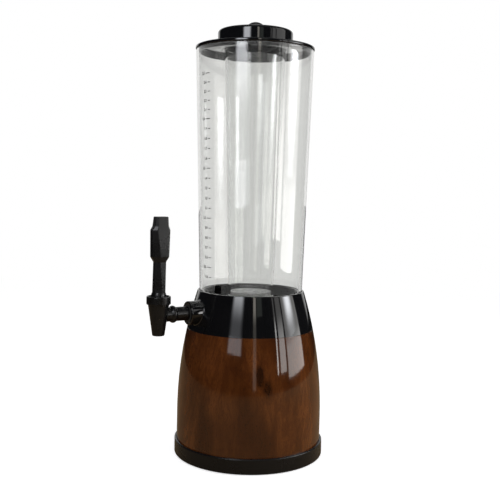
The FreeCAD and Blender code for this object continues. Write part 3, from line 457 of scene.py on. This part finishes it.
ring_low, ring_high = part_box("base_ring")
shell_low, shell_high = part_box("base_shell")
plate_low, plate_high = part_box("bottom_plate")
ring_radius, shell_radius = ring_high.x, shell_high.x
shell_inner = shell_radius - BARREL_WALL
lip_outer = shell_inner - GROOVE_GAP
groove_floor = plate_low.z + PLATE_THICKNESS
flange_top = groove_floor + RING_WALL
ring_outline = rounded([
    (plate_high.x + GROOVE_GAP, ring_low.z, 0.2 * MM), (ring_radius, ring_low.z, RING_ROUND),
    (ring_radius, ring_high.z, RING_ROUND), (shell_radius + GROOVE_GAP, ring_high.z, 0.3 * MM),
    (shell_radius + GROOVE_GAP, groove_floor, 0), (lip_outer, groove_floor, 0),
    (lip_outer, RING_LIP_TOP, 0.3 * MM), (lip_outer - RING_WALL, RING_LIP_TOP, 0.3 * MM),
    (lip_outer - RING_WALL, flange_top, 0), (RING_FLANGE_RADIUS, flange_top, 0.3 * MM),
    (RING_FLANGE_RADIUS, groove_floor, 0), (plate_high.x + GROOVE_GAP, groove_floor, 0)])
piece("base_ring_moulding", "base", "satin_black", satin_plastic, turned(ring_outline),
      stands_for=["base_ring"])


# Barrel
# The large moulded base shell. Its outside is a straight cylinder below and a long arc above, covered
# with a printed walnut grain under a thick clear gloss coat. An inward flange at the top takes the collar.

STRAIGHT_HEIGHT = 45.0 * MM
RIM_RADIUS = 57.5 * MM
SEAM_FLANGE_RADIUS = 56.0 * MM

rim_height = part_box("collar")[1].z
taper_width = shell_radius - RIM_RADIUS
taper_height = rim_height - STRAIGHT_HEIGHT
curve_radius = (taper_width ** 2 + taper_height ** 2) / (2 * taper_width)


def barrel_radius(height, depth=0.0):
    """Radius of the barrel's outside, or of a surface that lies a depth inside it, at a height.

    It is the centre's offset plus the root of the squared arc radius less the squared rise."""
    rise = np.maximum(np.asarray(height, float) - STRAIGHT_HEIGHT, 0)
    return shell_radius - curve_radius + np.sqrt((curve_radius - depth) ** 2 - rise ** 2)


def barrel_side(low, high, depth, steps):
    """Outline corners that follow the barrel from one height to another."""
    heights = np.linspace(low, high, steps)
    return [(radius, height, 0) for radius, height in zip(barrel_radius(heights, depth), heights)]


seam = shell_high.z
shell_outline = rounded(
    [(shell_inner, shell_low.z, 0.3 * MM), (shell_radius, shell_low.z, 0.3 * MM)]
    + barrel_side(STRAIGHT_HEIGHT, seam - 0.6 * MM, 0, 34)
    + [(barrel_radius(seam), seam, 0.15 * MM), (SEAM_FLANGE_RADIUS, seam, 0.2 * MM),
       (SEAM_FLANGE_RADIUS, seam - BARREL_WALL, 0.2 * MM)]
    + barrel_side(seam - BARREL_WALL, STRAIGHT_HEIGHT, BARREL_WALL, 24))

FIGURE_DRAW, FIGURE_PLACE = (1.0, 1.0, 0.30), (0.31, 0.12, 0.055)
BAND_COUNT = 38.0
KNOT_FLATNESS, KNOT_RAGGEDNESS = (1.0, 1.0, 0.45), 26.0 * MM
KNOTS = ((7.6, 100.0 * MM, 6.0 * MM), (15.5, 86.0 * MM, 6.5 * MM))
EARLY_DARK, EARLY_LIGHT = (0.038, 0.0105, 0.0022, 1), (0.130, 0.040, 0.0095, 1)
LATE_COLOUR, FIBRE_COLOUR = (0.045, 0.012, 0.003, 1), (0.040, 0.012, 0.004, 1)
PORE_COLOUR, KNOT_COLOUR = (0.016, 0.006, 0.003, 1), (0.014, 0.005, 0.002, 1)
LATE_SHARE, FIBRE_SHARE, PORE_SHARE, KNOT_SHARE = 0.40, 0.60, 0.6, 0.85

walnut, tree = new_material("walnut_print")
place = add(tree, "ShaderNodeTexCoord").outputs["Object"]
# The figure is a slow noise, drawn out along the barrel; its contours become bands of dark late wood
slow = add(tree, "ShaderNodeMapping", {"Vector": place, "Scale": FIGURE_DRAW, "Location": FIGURE_PLACE})
slow = slow.outputs[0]
figure = add(tree, "ShaderNodeTexNoise", {
    "Vector": slow, "Scale": 19.0, "Detail": 5.0, "Roughness": 0.6, "Distortion": 2.0}).outputs["Fac"]
bands = calc(tree, "SINE", calc(tree, "MULTIPLY", figure, BAND_COUNT))
late_wood = fade(tree, bands, -0.6, 1.0)
# Two knots, each a bearing in degrees from the camera, a height and a size, where the grain closes round
# a dark eye whose edge follows the figure
wander = calc(tree, "MULTIPLY", calc(tree, "SUBTRACT", figure, 0.5), KNOT_RAGGEDNESS)
knots = 0.0
for bearing, height, size in KNOTS:
    angle = CAMERA_BEARING + math.radians(bearing)
    radius = float(barrel_radius(height))
    eye = (radius * math.cos(angle), radius * math.sin(angle), height)
    flat = point_math(tree, "MULTIPLY", point_math(tree, "SUBTRACT", place, eye), KNOT_FLATNESS)
    ragged = calc(tree, "ADD", point_math(tree, "LENGTH", flat, output="Value"), wander)
    knots = calc(tree, "MAXIMUM", knots, fade(tree, ragged, 0.0, size, 1.0, 0.0))
fibres = use_group(tree, fine_streaks, Width=0.9 * MM, Length=22 * MM, Contrast=2.1, Swirl=9 * MM)["Streaks"]
pores = use_group(tree, fine_streaks, Width=0.35 * MM, Length=7 * MM, Contrast=2.6, Swirl=4 * MM)["Streaks"]
cloud = add(tree, "ShaderNodeTexNoise", {"Vector": slow, "Scale": 24.0, "Detail": 4.0}).outputs["Fac"]
wood = blend_colours(tree, fade(tree, cloud, 0.36, 0.66), EARLY_DARK, EARLY_LIGHT)
wood = blend_colours(tree, calc(tree, "MULTIPLY", late_wood, LATE_SHARE), wood, LATE_COLOUR)
wood = blend_colours(tree, fade(tree, fibres, 0.35, 0.9, 0.0, FIBRE_SHARE), wood, FIBRE_COLOUR)
wood = blend_colours(tree, fade(tree, pores, 0.62, 0.95, 0.0, PORE_SHARE), wood, PORE_COLOUR)
wood = blend_colours(tree, calc(tree, "MULTIPLY", knots, KNOT_SHARE), wood, KNOT_COLOUR)
# A faint ripple of the lacquer bends the reflections
ripple = add(tree, "ShaderNodeTexNoise", {"Vector": place, "Scale": 55.0, "Detail": 1.0}).outputs["Fac"]
sag = add(tree, "ShaderNodeBump", {"Height": ripple, "Distance": 0.03 * MM, "Strength": 1.0})
lacquer = use_group(tree, moulded_skin, Patch_Size=40 * MM, Smoothest=0.035, Roughest=0.075)
shader = add(tree, "ShaderNodeBsdfPrincipled", {
    "Base Color": wood, "Roughness": lacquer["Roughness"], "IOR": 1.5, "Normal": sag.outputs["Normal"]})
finish(tree, shader)
piece("barrel_shell", "base", "wood_print", walnut, turned(shell_outline, 256), stands_for=["base_shell"])


# Collar with its tap boss
# High gloss black moulding that continues the barrel's curve up to a thin rounded rim. A round boss with
# a filleted foot grows out of it for the tap's shank. Inside sits the well, and in it the tube's gasket.

RIM_ROUND = 0.75 * MM
BOSS_RADIUS = 12.6 * MM
BOSS_REACH = 75.5 * MM
BOSS_ROUND = 1.3 * MM
BOSS_FILLET = 1.2 * MM
BOSS_SINK = 2.2 * MM
WASHER_RADIUS = 10.1 * MM
WASHER_RECESS = 2.0 * MM
SHANK_HOLE = 6.5 * MM
LEDGE_DROP = 1.5 * MM
LEDGE_BORE = 52.9 * MM
LEDGE_THICKNESS = 2.0 * MM

gloss_plastic = moulded("gloss_black_plastic", darker=(0.0028, 0.0028, 0.0032, 1),
                        lighter=(0.0055, 0.0055, 0.0062, 1), smoothest=0.03, roughest=0.085,
                        grain_size=9 * MM, grain_depth=0.006 * MM, IOR=1.52)
gasket_low, gasket_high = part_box("tube_gasket")
collar_bore = gasket_high.x + GROOVE_GAP
ledge_top = gasket_low.z - LEDGE_DROP
ledge_bottom = ledge_top - LEDGE_THICKNESS
collar_outline = rounded(
    [(SEAM_FLANGE_RADIUS, seam, 0.2 * MM), (barrel_radius(seam), seam, 0.15 * MM)]
    + barrel_side(seam + 0.6 * MM, rim_height - 3.0 * MM, 0, 22)
    + [(RIM_RADIUS, rim_height, RIM_ROUND), (collar_bore, rim_height, 0.5 * MM),
       (collar_bore, ledge_top, 0), (LEDGE_BORE, ledge_top, 0.2 * MM), (LEDGE_BORE, ledge_bottom, 0.2 * MM)]
    + barrel_side(ledge_bottom, seam + BARREL_WALL, BARREL_WALL, 12)
    + [(SEAM_FLANGE_RADIUS, seam + BARREL_WALL, 0.2 * MM)])

SPOUT_DROP = 21.2 * MM
bonnet_low, bonnet_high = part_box("tap_bonnet")
tap_y = (bonnet_low.y + bonnet_high.y) / 2
tap_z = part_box("tap_body")[0].z + SPOUT_DROP


def boss_surface(columns=160):
    """The boss round the tap's axis. Its foot lies on the barrel, where the distance out at an angle is
    the root of the squared barrel radius less the squared sideways place; a quarter circle of BOSS_FILLET
    lifts it into the straight wall, which ends in a rounded face with a recess for the washer."""
    angles = np.linspace(0, 2 * math.pi, columns, endpoint=False)

    def ring(radius, reach=None, rise=0.0):
        x, z = radius * np.cos(angles), tap_z + radius * np.sin(angles)
        if reach is None:
            out = np.sqrt(np.maximum(barrel_radius(z) ** 2 - x ** 2, 0)) + rise
        else:
            out = np.full(columns, reach)
        return np.stack([x, -out, z], axis=-1)

    turns = np.linspace(0, math.pi / 2, 9)
    rings = [ring(SHANK_HOLE, rise=-BOSS_SINK), ring(BOSS_RADIUS + BOSS_FILLET, rise=-BOSS_SINK),
             ring(BOSS_RADIUS + BOSS_FILLET, rise=-0.15 * MM)]
    rings += [ring(BOSS_RADIUS + BOSS_FILLET * (1 - math.sin(turn)),
                   rise=BOSS_FILLET * (1 - math.cos(turn)) - 0.02 * MM) for turn in turns]
    rings += [ring(BOSS_RADIUS, BOSS_REACH - BOSS_ROUND - 0.3 * MM)]
    rings += [ring(BOSS_RADIUS - BOSS_ROUND * (1 - math.cos(turn)),
                   BOSS_REACH - BOSS_ROUND * (1 - math.sin(turn))) for turn in turns]
    rings += [ring(WASHER_RADIUS + 0.3 * MM, BOSS_REACH), ring(WASHER_RADIUS, BOSS_REACH - 0.3 * MM),
              ring(WASHER_RADIUS, BOSS_REACH - WASHER_RECESS), ring(SHANK_HOLE, BOSS_REACH - WASHER_RECESS)]
    return np.stack(rings), True, True


piece("collar_moulding", "base", "gloss_black", gloss_plastic,
      turned(collar_outline, 256), boss_surface(), stands_for=["collar"])
seal_rubber = moulded("seal_rubber", darker=grey(0.018), lighter=grey(0.032), smoothest=0.5, roughest=0.7,
                      grain_size=0.5 * MM, grain_depth=0.02 * MM)
dress("well_cup", gloss_plastic)
dress("tube_gasket", seal_rubber)


# Clear tube and its printed scale
# The tall tube is clear polycarbonate, widening a little to the top, with fire-polished edges. A scale is
# screen printed on its outside above the tap: a tick for each tenth of a litre and a number beside it.

TUBE_BOTTOM_RADIUS = 55.4 * MM
TUBE_WALL = 2.5 * MM
TUBE_EDGE = 0.7 * MM

tube_low, tube_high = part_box("clear_tube")
tube_slope = (tube_high.x - TUBE_BOTTOM_RADIUS) / (tube_high.z - tube_low.z)


def tube_radius(height, depth=0.0):
    """Radius of the tube's outside less a depth: it grows in proportion to the height."""
    return TUBE_BOTTOM_RADIUS - depth + tube_slope * (height - tube_low.z)


tube_outline = rounded([
    (tube_radius(tube_low.z, TUBE_WALL), tube_low.z, TUBE_EDGE),
    (tube_radius(tube_low.z), tube_low.z, TUBE_EDGE),
    (tube_radius(tube_high.z), tube_high.z, TUBE_EDGE),
    (tube_radius(tube_high.z, TUBE_WALL), tube_high.z, TUBE_EDGE)])


def clear_plastic(name, tint, ripple_depth):
    """Clear moulded plastic, faintly rippled along its length as drawn or moulded tubes are."""
    material, tree = new_material(name)
    place = add(tree, "ShaderNodeTexCoord").outputs["Object"]
    drawn = add(tree, "ShaderNodeMapping", {"Vector": place, "Scale": (1.0, 1.0, 0.06)}).outputs[0]
    ripple = add(tree, "ShaderNodeTexNoise", {"Vector": drawn, "Scale": 60.0, "Detail": 1.0}).outputs["Fac"]
    bump = add(tree, "ShaderNodeBump", {"Height": ripple, "Distance": ripple_depth, "Strength": 1.0})
    haze = use_group(tree, moulded_skin, Patch_Size=60 * MM, Smoothest=0.0, Roughest=0.02)
    deeper = tuple(0.97 * part for part in tint)
    shader = add(tree, "ShaderNodeBsdfPrincipled", {
        "Base Color": blend_colours(tree, haze["Patches"], tint, deeper), "Roughness": haze["Roughness"],
        "IOR": 1.5, "Specular IOR Level": 0.24, "Transmission Weight": 1.0,
        "Normal": bump.outputs["Normal"]})
    finish(tree, shader)
    return material


tube_plastic = clear_plastic("tube_plastic", (0.83, 0.832, 0.82, 1), 0.02 * MM)
piece("tube_moulding", "base", "clear_plastic", tube_plastic, turned(tube_outline, 256),
      stands_for=["clear_tube"])

SCALE_BEARING = math.radians(-90 + 13)
FIRST_MARK, LAST_MARK = 4, 25
LONG_MARKS = (5, 10, 15, 20, 25)
LONG_MARK_HEIGHTS = (206.0 * MM, 257.5 * MM, 309.0 * MM, 359.5 * MM, 405.5 * MM)
INK_THICKNESS, INK_LIFT = 0.04 * MM, 0.01 * MM
MINOR_TICK, MAJOR_TICK, TICK_WIDTH = 3.0 * MM, 6.5 * MM, 0.7 * MM
NUMBER_HEIGHT, NUMBER_GAP, STROKE_GAIN = 2.8 * MM, 2.6 * MM, 0.13 * MM
DIGIT_SHARE = 0.7  # height of a digit as a share of the font's size


def mark_height(mark):
    """Height of a mark: evenly spaced between the long marks, and below them as between the first two."""
    spacing = (LONG_MARK_HEIGHTS[1] - LONG_MARK_HEIGHTS[0]) / (LONG_MARKS[1] - LONG_MARKS[0])
    below = min(mark - LONG_MARKS[0], 0) * spacing
    return float(np.interp(mark, LONG_MARKS, LONG_MARK_HEIGHTS)) + below


def wrapped(points, bearing, height):
    """Bend flat print round the tube: across becomes an arc from the bearing, up becomes height, and the
    third number is the distance from the surface."""
    heights = height + points[:, 1]
    radii = tube_radius(heights) + points[:, 2] + INK_LIFT
    angles = bearing + points[:, 0] / radii
    return np.stack([radii * np.cos(angles), radii * np.sin(angles), heights], axis=-1)


def flat_number(words, right_edge, height):
    """The vertices and faces of a printed word whose right end is at right_edge."""
    curve = bpy.data.curves.new("number", "FONT")
    curve.body = words
    curve.size = height / DIGIT_SHARE
    curve.align_x, curve.align_y = "RIGHT", "CENTER"
    curve.extrude = INK_THICKNESS / 2
    curve.offset = STROKE_GAIN
    curve.resolution_u = 3
    holder = bpy.data.objects.new("number", curve)
    mesh = bpy.data.meshes.new_from_object(holder)
    points = np.empty(len(mesh.vertices) * 3)
    mesh.vertices.foreach_get("co", points)
    points = points.reshape(-1, 3) + (right_edge, 0, 0)
    faces = [tuple(face.vertices) for face in mesh.polygons]
    bpy.data.objects.remove(holder)
    return points, faces


def flat_bar(left, right, width):
    """The vertices and faces of a thin bar, cut in steps so that it can bend round the tube."""
    steps = np.linspace(left, right, 7)
    half = width / 2
    section = [(-half, 0), (half, 0), (half, INK_THICKNESS), (-half, INK_THICKNESS)]
    points = np.array([(across, up, out) for across in steps for up, out in section])
    faces = []
    for start in range(0, 4 * (len(steps) - 1), 4):
        for side in range(4):
            after = (side + 1) % 4
            faces.append((start + side, start + after, start + 4 + after, start + 4 + side))
    end = 4 * (len(steps) - 1)
    return points, faces + [(3, 2, 1, 0), (end, end + 1, end + 2, end + 3)]


prints, print_faces, count = [], [], 0
for mark in range(FIRST_MARK, LAST_MARK + 1):
    tick = MAJOR_TICK if mark in LONG_MARKS else MINOR_TICK
    number = flat_number(f"{mark / 10:.1f}", -tick - NUMBER_GAP, NUMBER_HEIGHT)
    for flat, faces in (flat_bar(-tick, 0, TICK_WIDTH), number):
        prints.append(wrapped(flat, SCALE_BEARING, mark_height(mark)))
        print_faces += [tuple(corner + count for corner in face) for face in faces]
        count += len(flat)
scale_mesh = bpy.data.meshes.new("printed_scale")
scale_mesh.from_pydata(np.vstack(prints).tolist(), [], print_faces)
ink, tree = new_material("printing_ink")
skin = use_group(tree, moulded_skin, Patch_Size=3 * MM, Smoothest=0.4, Roughest=0.6)
finish(tree, add(tree, "ShaderNodeBsdfPrincipled", {
    "Base Color": blend_colours(tree, skin["Patches"], grey(0.006), grey(0.02)),
    "Roughness": skin["Roughness"]}))
scale_mesh.materials.append(ink)
scale = bpy.data.objects.new("printed_scale", scale_mesh)
bpy.context.scene.collection.objects.link(scale)
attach(scale, "base")


# Lid
# Gloss black disc with a rounded edge that rests on the tube. A skirt under it centres it in the tube, and
# a neck on top carries the ice tube's flange on a milky silicone seal.

LID_EDGE = 3.2 * MM
LID_PLATE = 2.5 * MM
SKIRT_WALL = 1.9 * MM
NECK_BORE_RADIUS = 32.9 * MM
NECK_WALL = 4.0 * MM
LID_ROUND = 1.1 * MM
LID_LIFT = 0.2 * MM  # clearance between the tube's edge and the disc

lid_low, lid_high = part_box("lid")
lid_bottom = tube_high.z + LID_LIFT
lid_top = lid_bottom + LID_EDGE
skirt_outer = tube_radius(tube_high.z, TUBE_WALL) - GROOVE_GAP
neck_outer = NECK_BORE_RADIUS + NECK_WALL
lid_outline = rounded([
    (NECK_BORE_RADIUS, lid_top - LID_PLATE, 0.4 * MM), (skirt_outer - SKIRT_WALL, lid_top - LID_PLATE, 0),
    (skirt_outer - SKIRT_WALL, lid_low.z, 0.5 * MM), (skirt_outer, lid_low.z, 0.5 * MM),
    (skirt_outer, lid_bottom, 0), (lid_high.x, lid_bottom, LID_ROUND), (lid_high.x, lid_top, LID_ROUND),
    (neck_outer, lid_top, 0.2 * MM), (neck_outer, lid_high.z, 0.4 * MM),
    (NECK_BORE_RADIUS, lid_high.z, 0.4 * MM)])
piece("lid_moulding", "lid", "gloss_black", gloss_plastic, turned(lid_outline, 256), stands_for=["lid"])
milky_rubber = moulded("milky_silicone", darker=(0.62, 0.63, 0.62, 1), lighter=(0.74, 0.75, 0.74, 1),
                       smoothest=0.35, roughest=0.5, grain_size=1.5 * MM, grain_depth=0.02 * MM)
dress("ice_tube_seal", milky_rubber)
dress("cap_seal", milky_rubber)


# Ice tube
# A second clear tube hangs in the lid by its flange and holds ice, so that the drink stays undiluted. A
# pale frosted disc is glued in its lower end.

ICE_TOP_RADIUS = 32.6 * MM
ICE_BOTTOM_RADIUS = 24.4 * MM
ICE_WALL = 2.0 * MM
ICE_FLANGE = 2.0 * MM

ice_low, ice_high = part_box("ice_tube")
flange_bottom = ice_high.z - ICE_FLANGE
ice_outline = rounded([
    (ICE_BOTTOM_RADIUS - ICE_WALL, ice_low.z, 0.3 * MM), (ICE_BOTTOM_RADIUS, ice_low.z, 0.5 * MM),
    (ICE_TOP_RADIUS, flange_bottom, 0.3 * MM), (ice_high.x, flange_bottom, 0.3 * MM),
    (ice_high.x, ice_high.z, 0.3 * MM), (ICE_TOP_RADIUS - ICE_WALL, ice_high.z, 0.3 * MM)])
ice_plastic = clear_plastic("ice_tube_plastic", (0.95, 0.955, 0.95, 1), 0.05 * MM)
piece("ice_tube_moulding", "lid", "clear_ice", ice_plastic, turned(ice_outline), stands_for=["ice_tube"])

disc_low, disc_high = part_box("ice_tube_floor")
plug_radius = ICE_BOTTOM_RADIUS - ICE_WALL - 0.05 * MM
disc_outline = rounded([
    (0, disc_low.z, 0), (disc_high.x, disc_low.z, 0.4 * MM), (disc_high.x, ice_low.z, 0.2 * MM),
    (plug_radius, ice_low.z, 0), (plug_radius, disc_high.z, 0.3 * MM), (0, disc_high.z, 0)])
frosted, tree = new_material("frosted_disc")
place = add(tree, "ShaderNodeTexCoord").outputs["Object"]
crackle = add(tree, "ShaderNodeTexVoronoi", {"Vector": place, "Scale": 260.0}, feature="DISTANCE_TO_EDGE")
glints = fade(tree, crackle.outputs["Distance"], 0.0, 0.08)
haze = use_group(tree, moulded_skin, Grain_Size=0.8 * MM, Patch_Size=7 * MM, Smoothest=0.15, Roughest=0.4)
bump = add(tree, "ShaderNodeBump", {"Height": haze["Height"], "Distance": 0.3 * MM, "Strength": 1.0})
finish(tree, add(tree, "ShaderNodeBsdfPrincipled", {
    "Base Color": blend_colours(tree, glints, grey(0.55), (0.98, 0.985, 0.97, 1)),
    "Roughness": haze["Roughness"], "Normal": bump.outputs["Normal"]}))
piece("ice_tube_end_disc", "lid", "frosted", frosted, turned(disc_outline, 128),
      stands_for=["ice_tube_floor"])


# Cap with its knob
# A gloss black cap with a softly rounded top screws on the lid's neck and presses a seal on the ice tube.
# A small dome in its middle, glued in by its peg, serves to lift it.

CAP_WALL = 2.7 * MM
CAP_ROUND = 3.3 * MM
PEG_RADIUS = 2.0 * MM

cap_low, cap_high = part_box("lid_cap")
knob_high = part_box("cap_knob")[1]
cap_inner = cap_high.x - CAP_WALL
ceiling = cap_high.z - CAP_WALL
cap_outline = rounded([
    (PEG_RADIUS, ceiling, 0), (cap_inner, ceiling, 0.5 * MM), (cap_inner, cap_low.z, 0.4 * MM),
    (cap_high.x, cap_low.z, 0.5 * MM), (cap_high.x, cap_high.z, CAP_ROUND), (PEG_RADIUS, cap_high.z, 0)
], arc_steps=8)
piece("cap_moulding", "cap", "gloss_black", gloss_plastic, turned(cap_outline, 224), stands_for=["lid_cap"])

knob_radius, knob_height = knob_high.x, knob_high.z - cap_high.z
dome_curve = (knob_radius ** 2 + knob_height ** 2) / (2 * knob_height)
swing = np.linspace(math.asin(knob_radius / dome_curve), 0, 20)
dome = [(dome_curve * math.sin(turn), knob_high.z - dome_curve * (1 - math.cos(turn)), 0) for turn in swing]
peg = [(0, ceiling, 0), (PEG_RADIUS, ceiling, 0), (PEG_RADIUS, cap_high.z, 0)]
knob_outline = rounded(peg + dome[:-1] + [(0, knob_high.z, 0)])
piece("cap_knob_dome", "cap", "gloss_black", gloss_plastic, turned(knob_outline, 96),
      stands_for=["cap_knob"])


# Tap body
# Satin black moulding: a spout cone with a rounded mouth, and a shank with a raised bead that passes
# through the collar. Washers, a hexagon nut inside the well and the hidden valve hold and close it.

SPOUT_MOUTH_RADIUS = 6.3 * MM
OUTLET_RADIUS = 4.4 * MM
SEAT_DROP = 5.2 * MM
CHAMBER_RADIUS = 6.8 * MM
SHANK_RADIUS = 7.35 * MM
THREAD_RADIUS = 6.2 * MM
SHANK_BORE = 4.2 * MM
SPOUT_TOP, SPOUT_TOP_RADIUS = 11.3 * MM, 10.9 * MM
BEAD_PLACE, BEAD_WIDTH, BEAD_RISE, BEAD_FULLNESS = 15.6 * MM, 6.0 * MM, 1.65 * MM, 0.8
PLUG_BOTTOM = 6.0 * MM

tap_centre = (0, tap_y, tap_z)
cone_outline = rounded([
    (OUTLET_RADIUS, -SPOUT_DROP, 0.7 * MM), (SPOUT_MOUTH_RADIUS, -SPOUT_DROP, 0.95 * MM),
    (SPOUT_TOP_RADIUS, SPOUT_TOP, 0.4 * MM), (CHAMBER_RADIUS + 1.2 * MM, SPOUT_TOP, 0),
    (CHAMBER_RADIUS, PLUG_BOTTOM, 0), (CHAMBER_RADIUS, -SEAT_DROP, 0), (OUTLET_RADIUS, -SEAT_DROP, 0)])
shoulder = -tap_y - BOSS_REACH
thread_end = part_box("tap_body")[1].y - tap_y
bead = []
for step in np.linspace(-1, 1, 13):
    rise = BEAD_RISE * (1 - step ** 2) ** BEAD_FULLNESS
    bead.append((SHANK_RADIUS + rise, -(BEAD_PLACE + step * BEAD_WIDTH / 2), 0))
shank_outline = rounded(
    [(SHANK_BORE, -CHAMBER_RADIUS, 0), (SHANK_RADIUS, -CHAMBER_RADIUS, 0)] + bead
    + [(SHANK_RADIUS, -shoulder, 0.4 * MM), (THREAD_RADIUS, -shoulder, 0),
       (THREAD_RADIUS, -thread_end, 0.5 * MM), (SHANK_BORE, -thread_end, 0.3 * MM)])
piece("tap_body_moulding", "base", "satin_black", satin_plastic, turned(cone_outline, 96, tap_centre),
      turned(shank_outline, 96, tap_centre, "Y"), stands_for=["tap_body"])
dress("tap_lock_nut", satin_plastic)
dress("tap_outer_seal", seal_rubber)
dress("tap_inner_seal", seal_rubber)


# Bonnet
# A satin black ring that screws into the tap body. Its flared mouth shows the ball of the handle, and two
# short steel pins in it are the handle's hinge.

BONNET_TOP = 19.8 * MM
MOUTH_RADIUS, MOUTH_DEPTH = 11.2 * MM, 4.6 * MM
BALL_HEIGHT = 17.6 * MM
BALL_RADIUS = 8.2 * MM
SOCKET_GAP = 0.3 * MM
STEM_GUIDE = 1.65 * MM

bonnet_radius = bonnet_high.x
socket = BALL_RADIUS + SOCKET_GAP
mouth_bottom = BONNET_TOP - MOUTH_DEPTH
start_turn = math.asin((mouth_bottom - BALL_HEIGHT) / socket)
end_turn = -math.acos(STEM_GUIDE / socket)
bowl = [(socket * math.cos(turn), BALL_HEIGHT + socket * math.sin(turn), 0)
        for turn in np.linspace(start_turn, end_turn, 18)]
bonnet_outline = rounded([
    (CHAMBER_RADIUS + 1.1 * MM, SPOUT_TOP, 0), (bonnet_radius, SPOUT_TOP, 0.9 * MM),
    (bonnet_radius, BONNET_TOP, 0.9 * MM), (MOUTH_RADIUS, BONNET_TOP, 0.25 * MM)] + bowl
    + [(STEM_GUIDE, PLUG_BOTTOM, 0), (CHAMBER_RADIUS + 1.1 * MM, PLUG_BOTTOM, 0)])
piece("bonnet_moulding", "base", "satin_black", satin_plastic, turned(bonnet_outline, 128, tap_centre),
      stands_for=["tap_bonnet"])
dress("pivot_pins", screw_steel)


# Lever handle
# One satin black moulding: a forked ball in the bonnet, a slim neck that leans back, and a faceted paddle
# for the hand. Each level is an eight-sided section; the paddle's raised mark is left bare.

HANDLE_LEVELS = (
    # height, front, rear, half width, front bevel, rear bevel, bevel width
    (21.8, 6.3, 6.3, 6.0, 8.0, 2.0, 3.2),
    (55.0, 5.55, 7.0, 5.4, 4.6, 2.0, 3.0),
    (60.2, 8.65, 10.15, 6.4, 8.0, 2.6, 3.4),
    (87.6, 8.65, 10.95, 6.6, 4.6, 2.6, 3.2),
    (91.6, 6.2, 9.2, 6.2, 3.0, 1.8, 2.6),
    (101.2, 5.0, 8.7, 5.6, 2.2, 1.6, 2.2),
)
FORK_GAP, FORK_RADIUS = 6.4 * MM, 6.3 * MM
NECK_BALL_RADIUS = 7.9 * MM
EDGE_ROUND = 0.45 * MM
hinge_centre = (0, tap_y, tap_z + BALL_HEIGHT)


def paddle_surface():
    """Eight-sided sections stacked up the handle, straight between levels, with a closed foot and tip."""
    height, front, rear, half, front_bevel, rear_bevel, bevel = (np.array(HANDLE_LEVELS) * MM).T
    narrow = half - bevel
    across = np.stack([narrow, half, half, narrow, -narrow, -half, -half, -narrow], axis=1)
    along = np.stack([-front, -front + front_bevel, rear - rear_bevel, rear,
                      rear, rear - rear_bevel, -front + front_bevel, -front], axis=1)
    up = np.repeat(height[:, None], 8, axis=1)
    rings = np.stack([across, along, up], axis=-1)
    foot, tip = rings[:1].copy(), rings[-1:].copy()
    foot[..., :2] = 0
    tip[..., :2] = 0
    return np.vstack([foot, rings, tip]) + np.array(tap_centre), False, True


def ball_cheek(side):
    """One side of the forked ball: the sphere's slice beyond the slot, turned about the hinge's axis."""
    swing = np.linspace(math.asin(FORK_GAP / 2 / BALL_RADIUS), math.pi / 2, 14)
    outline = np.stack([BALL_RADIUS * np.cos(swing), side * BALL_RADIUS * np.sin(swing)], axis=1)
    outline = np.vstack([[0, side * FORK_GAP / 2], outline])
    points, _, _ = turned(outline, 72, hinge_centre, "X")
    return points, True, True


def ball_bridge():
    """The rib between the cheeks, above the fork: a band of the sphere from the hollow's radius outward,
    carried round the hinge's axis over the part that the fork leaves."""
    sides = np.linspace(-FORK_GAP / 2, FORK_GAP / 2, 9)
    outer = np.stack([np.sqrt(BALL_RADIUS ** 2 - sides ** 2), sides], axis=1)
    inner = np.array([(FORK_RADIUS, FORK_GAP / 2), (FORK_RADIUS, -FORK_GAP / 2)])
    section = np.vstack([outer, inner])
    angles = np.linspace(math.radians(-60), math.radians(178), 64)
    radius, side = section[:, 0], section[:, 1]
    loops = np.stack([side + 0 * angles[:, None], radius * np.cos(angles[:, None]),
                      radius * np.sin(angles[:, None])], axis=-1)
    ends = [loops[:1].mean(axis=1, keepdims=True).repeat(len(section), axis=1),
            loops[-1:].mean(axis=1, keepdims=True).repeat(len(section), axis=1)]
    return np.vstack([ends[0], loops, ends[1]]) + np.array(hinge_centre), False, True


def neck_ball():
    """The second ball, between the neck and the bonnet's mouth: a shell whose outside is a sphere about
    the mouth's middle and whose inside is a sphere about the hinge, a bit wider than the fork's hollow."""
    outer_turns = np.linspace(math.pi / 2, math.radians(-20), 26)
    inner_turns = np.linspace(math.radians(-5), math.pi / 2, 18)
    outer = np.stack([np.cos(outer_turns), np.sin(outer_turns)], axis=1) * NECK_BALL_RADIUS
    inner = np.stack([np.cos(inner_turns), np.sin(inner_turns)], axis=1) * (FORK_RADIUS + SOCKET_GAP)
    return turned(np.vstack([outer + (0, BONNET_TOP), inner + (0, BALL_HEIGHT)]), 72, tap_centre)


paddle = piece("handle_paddle", "handle", "satin_black", satin_plastic, paddle_surface(), smooth=False,
               stands_for=["tap_handle"])
softened = paddle.modifiers.new("edges", "BEVEL")
softened.width = EDGE_ROUND
softened.segments = 3
softened.limit_method = "ANGLE"
softened.angle_limit = math.radians(8)
softened.harden_normals = True
paddle.data.shade_smooth()
piece("handle_ball", "handle", "satin_black", satin_plastic, ball_cheek(1), ball_cheek(-1), ball_bridge(),
      neck_ball(), stands_for=["tap_handle"])
dress("drive_pin", screw_steel)


# Valve inside the tap
# A white plastic stem hooked to the handle's drive pin carries a silicone cup that closes the outlet, a
# steel spring presses it down, and a rubber ring seals the stem. Nothing of it shows from outside.

white_plastic = moulded("white_plastic", darker=(0.72, 0.72, 0.70, 1), lighter=(0.82, 0.82, 0.80, 1),
                        smoothest=0.3, roughest=0.42, grain_size=0.5 * MM, grain_depth=0.01 * MM)
dress("tap_stem", white_plastic)
dress("seat_cup", milky_rubber)
dress("stem_seal", seal_rubber)
dress("tap_spring", bare_steel("spring_wire", 0.55, 0.25, 0.4))
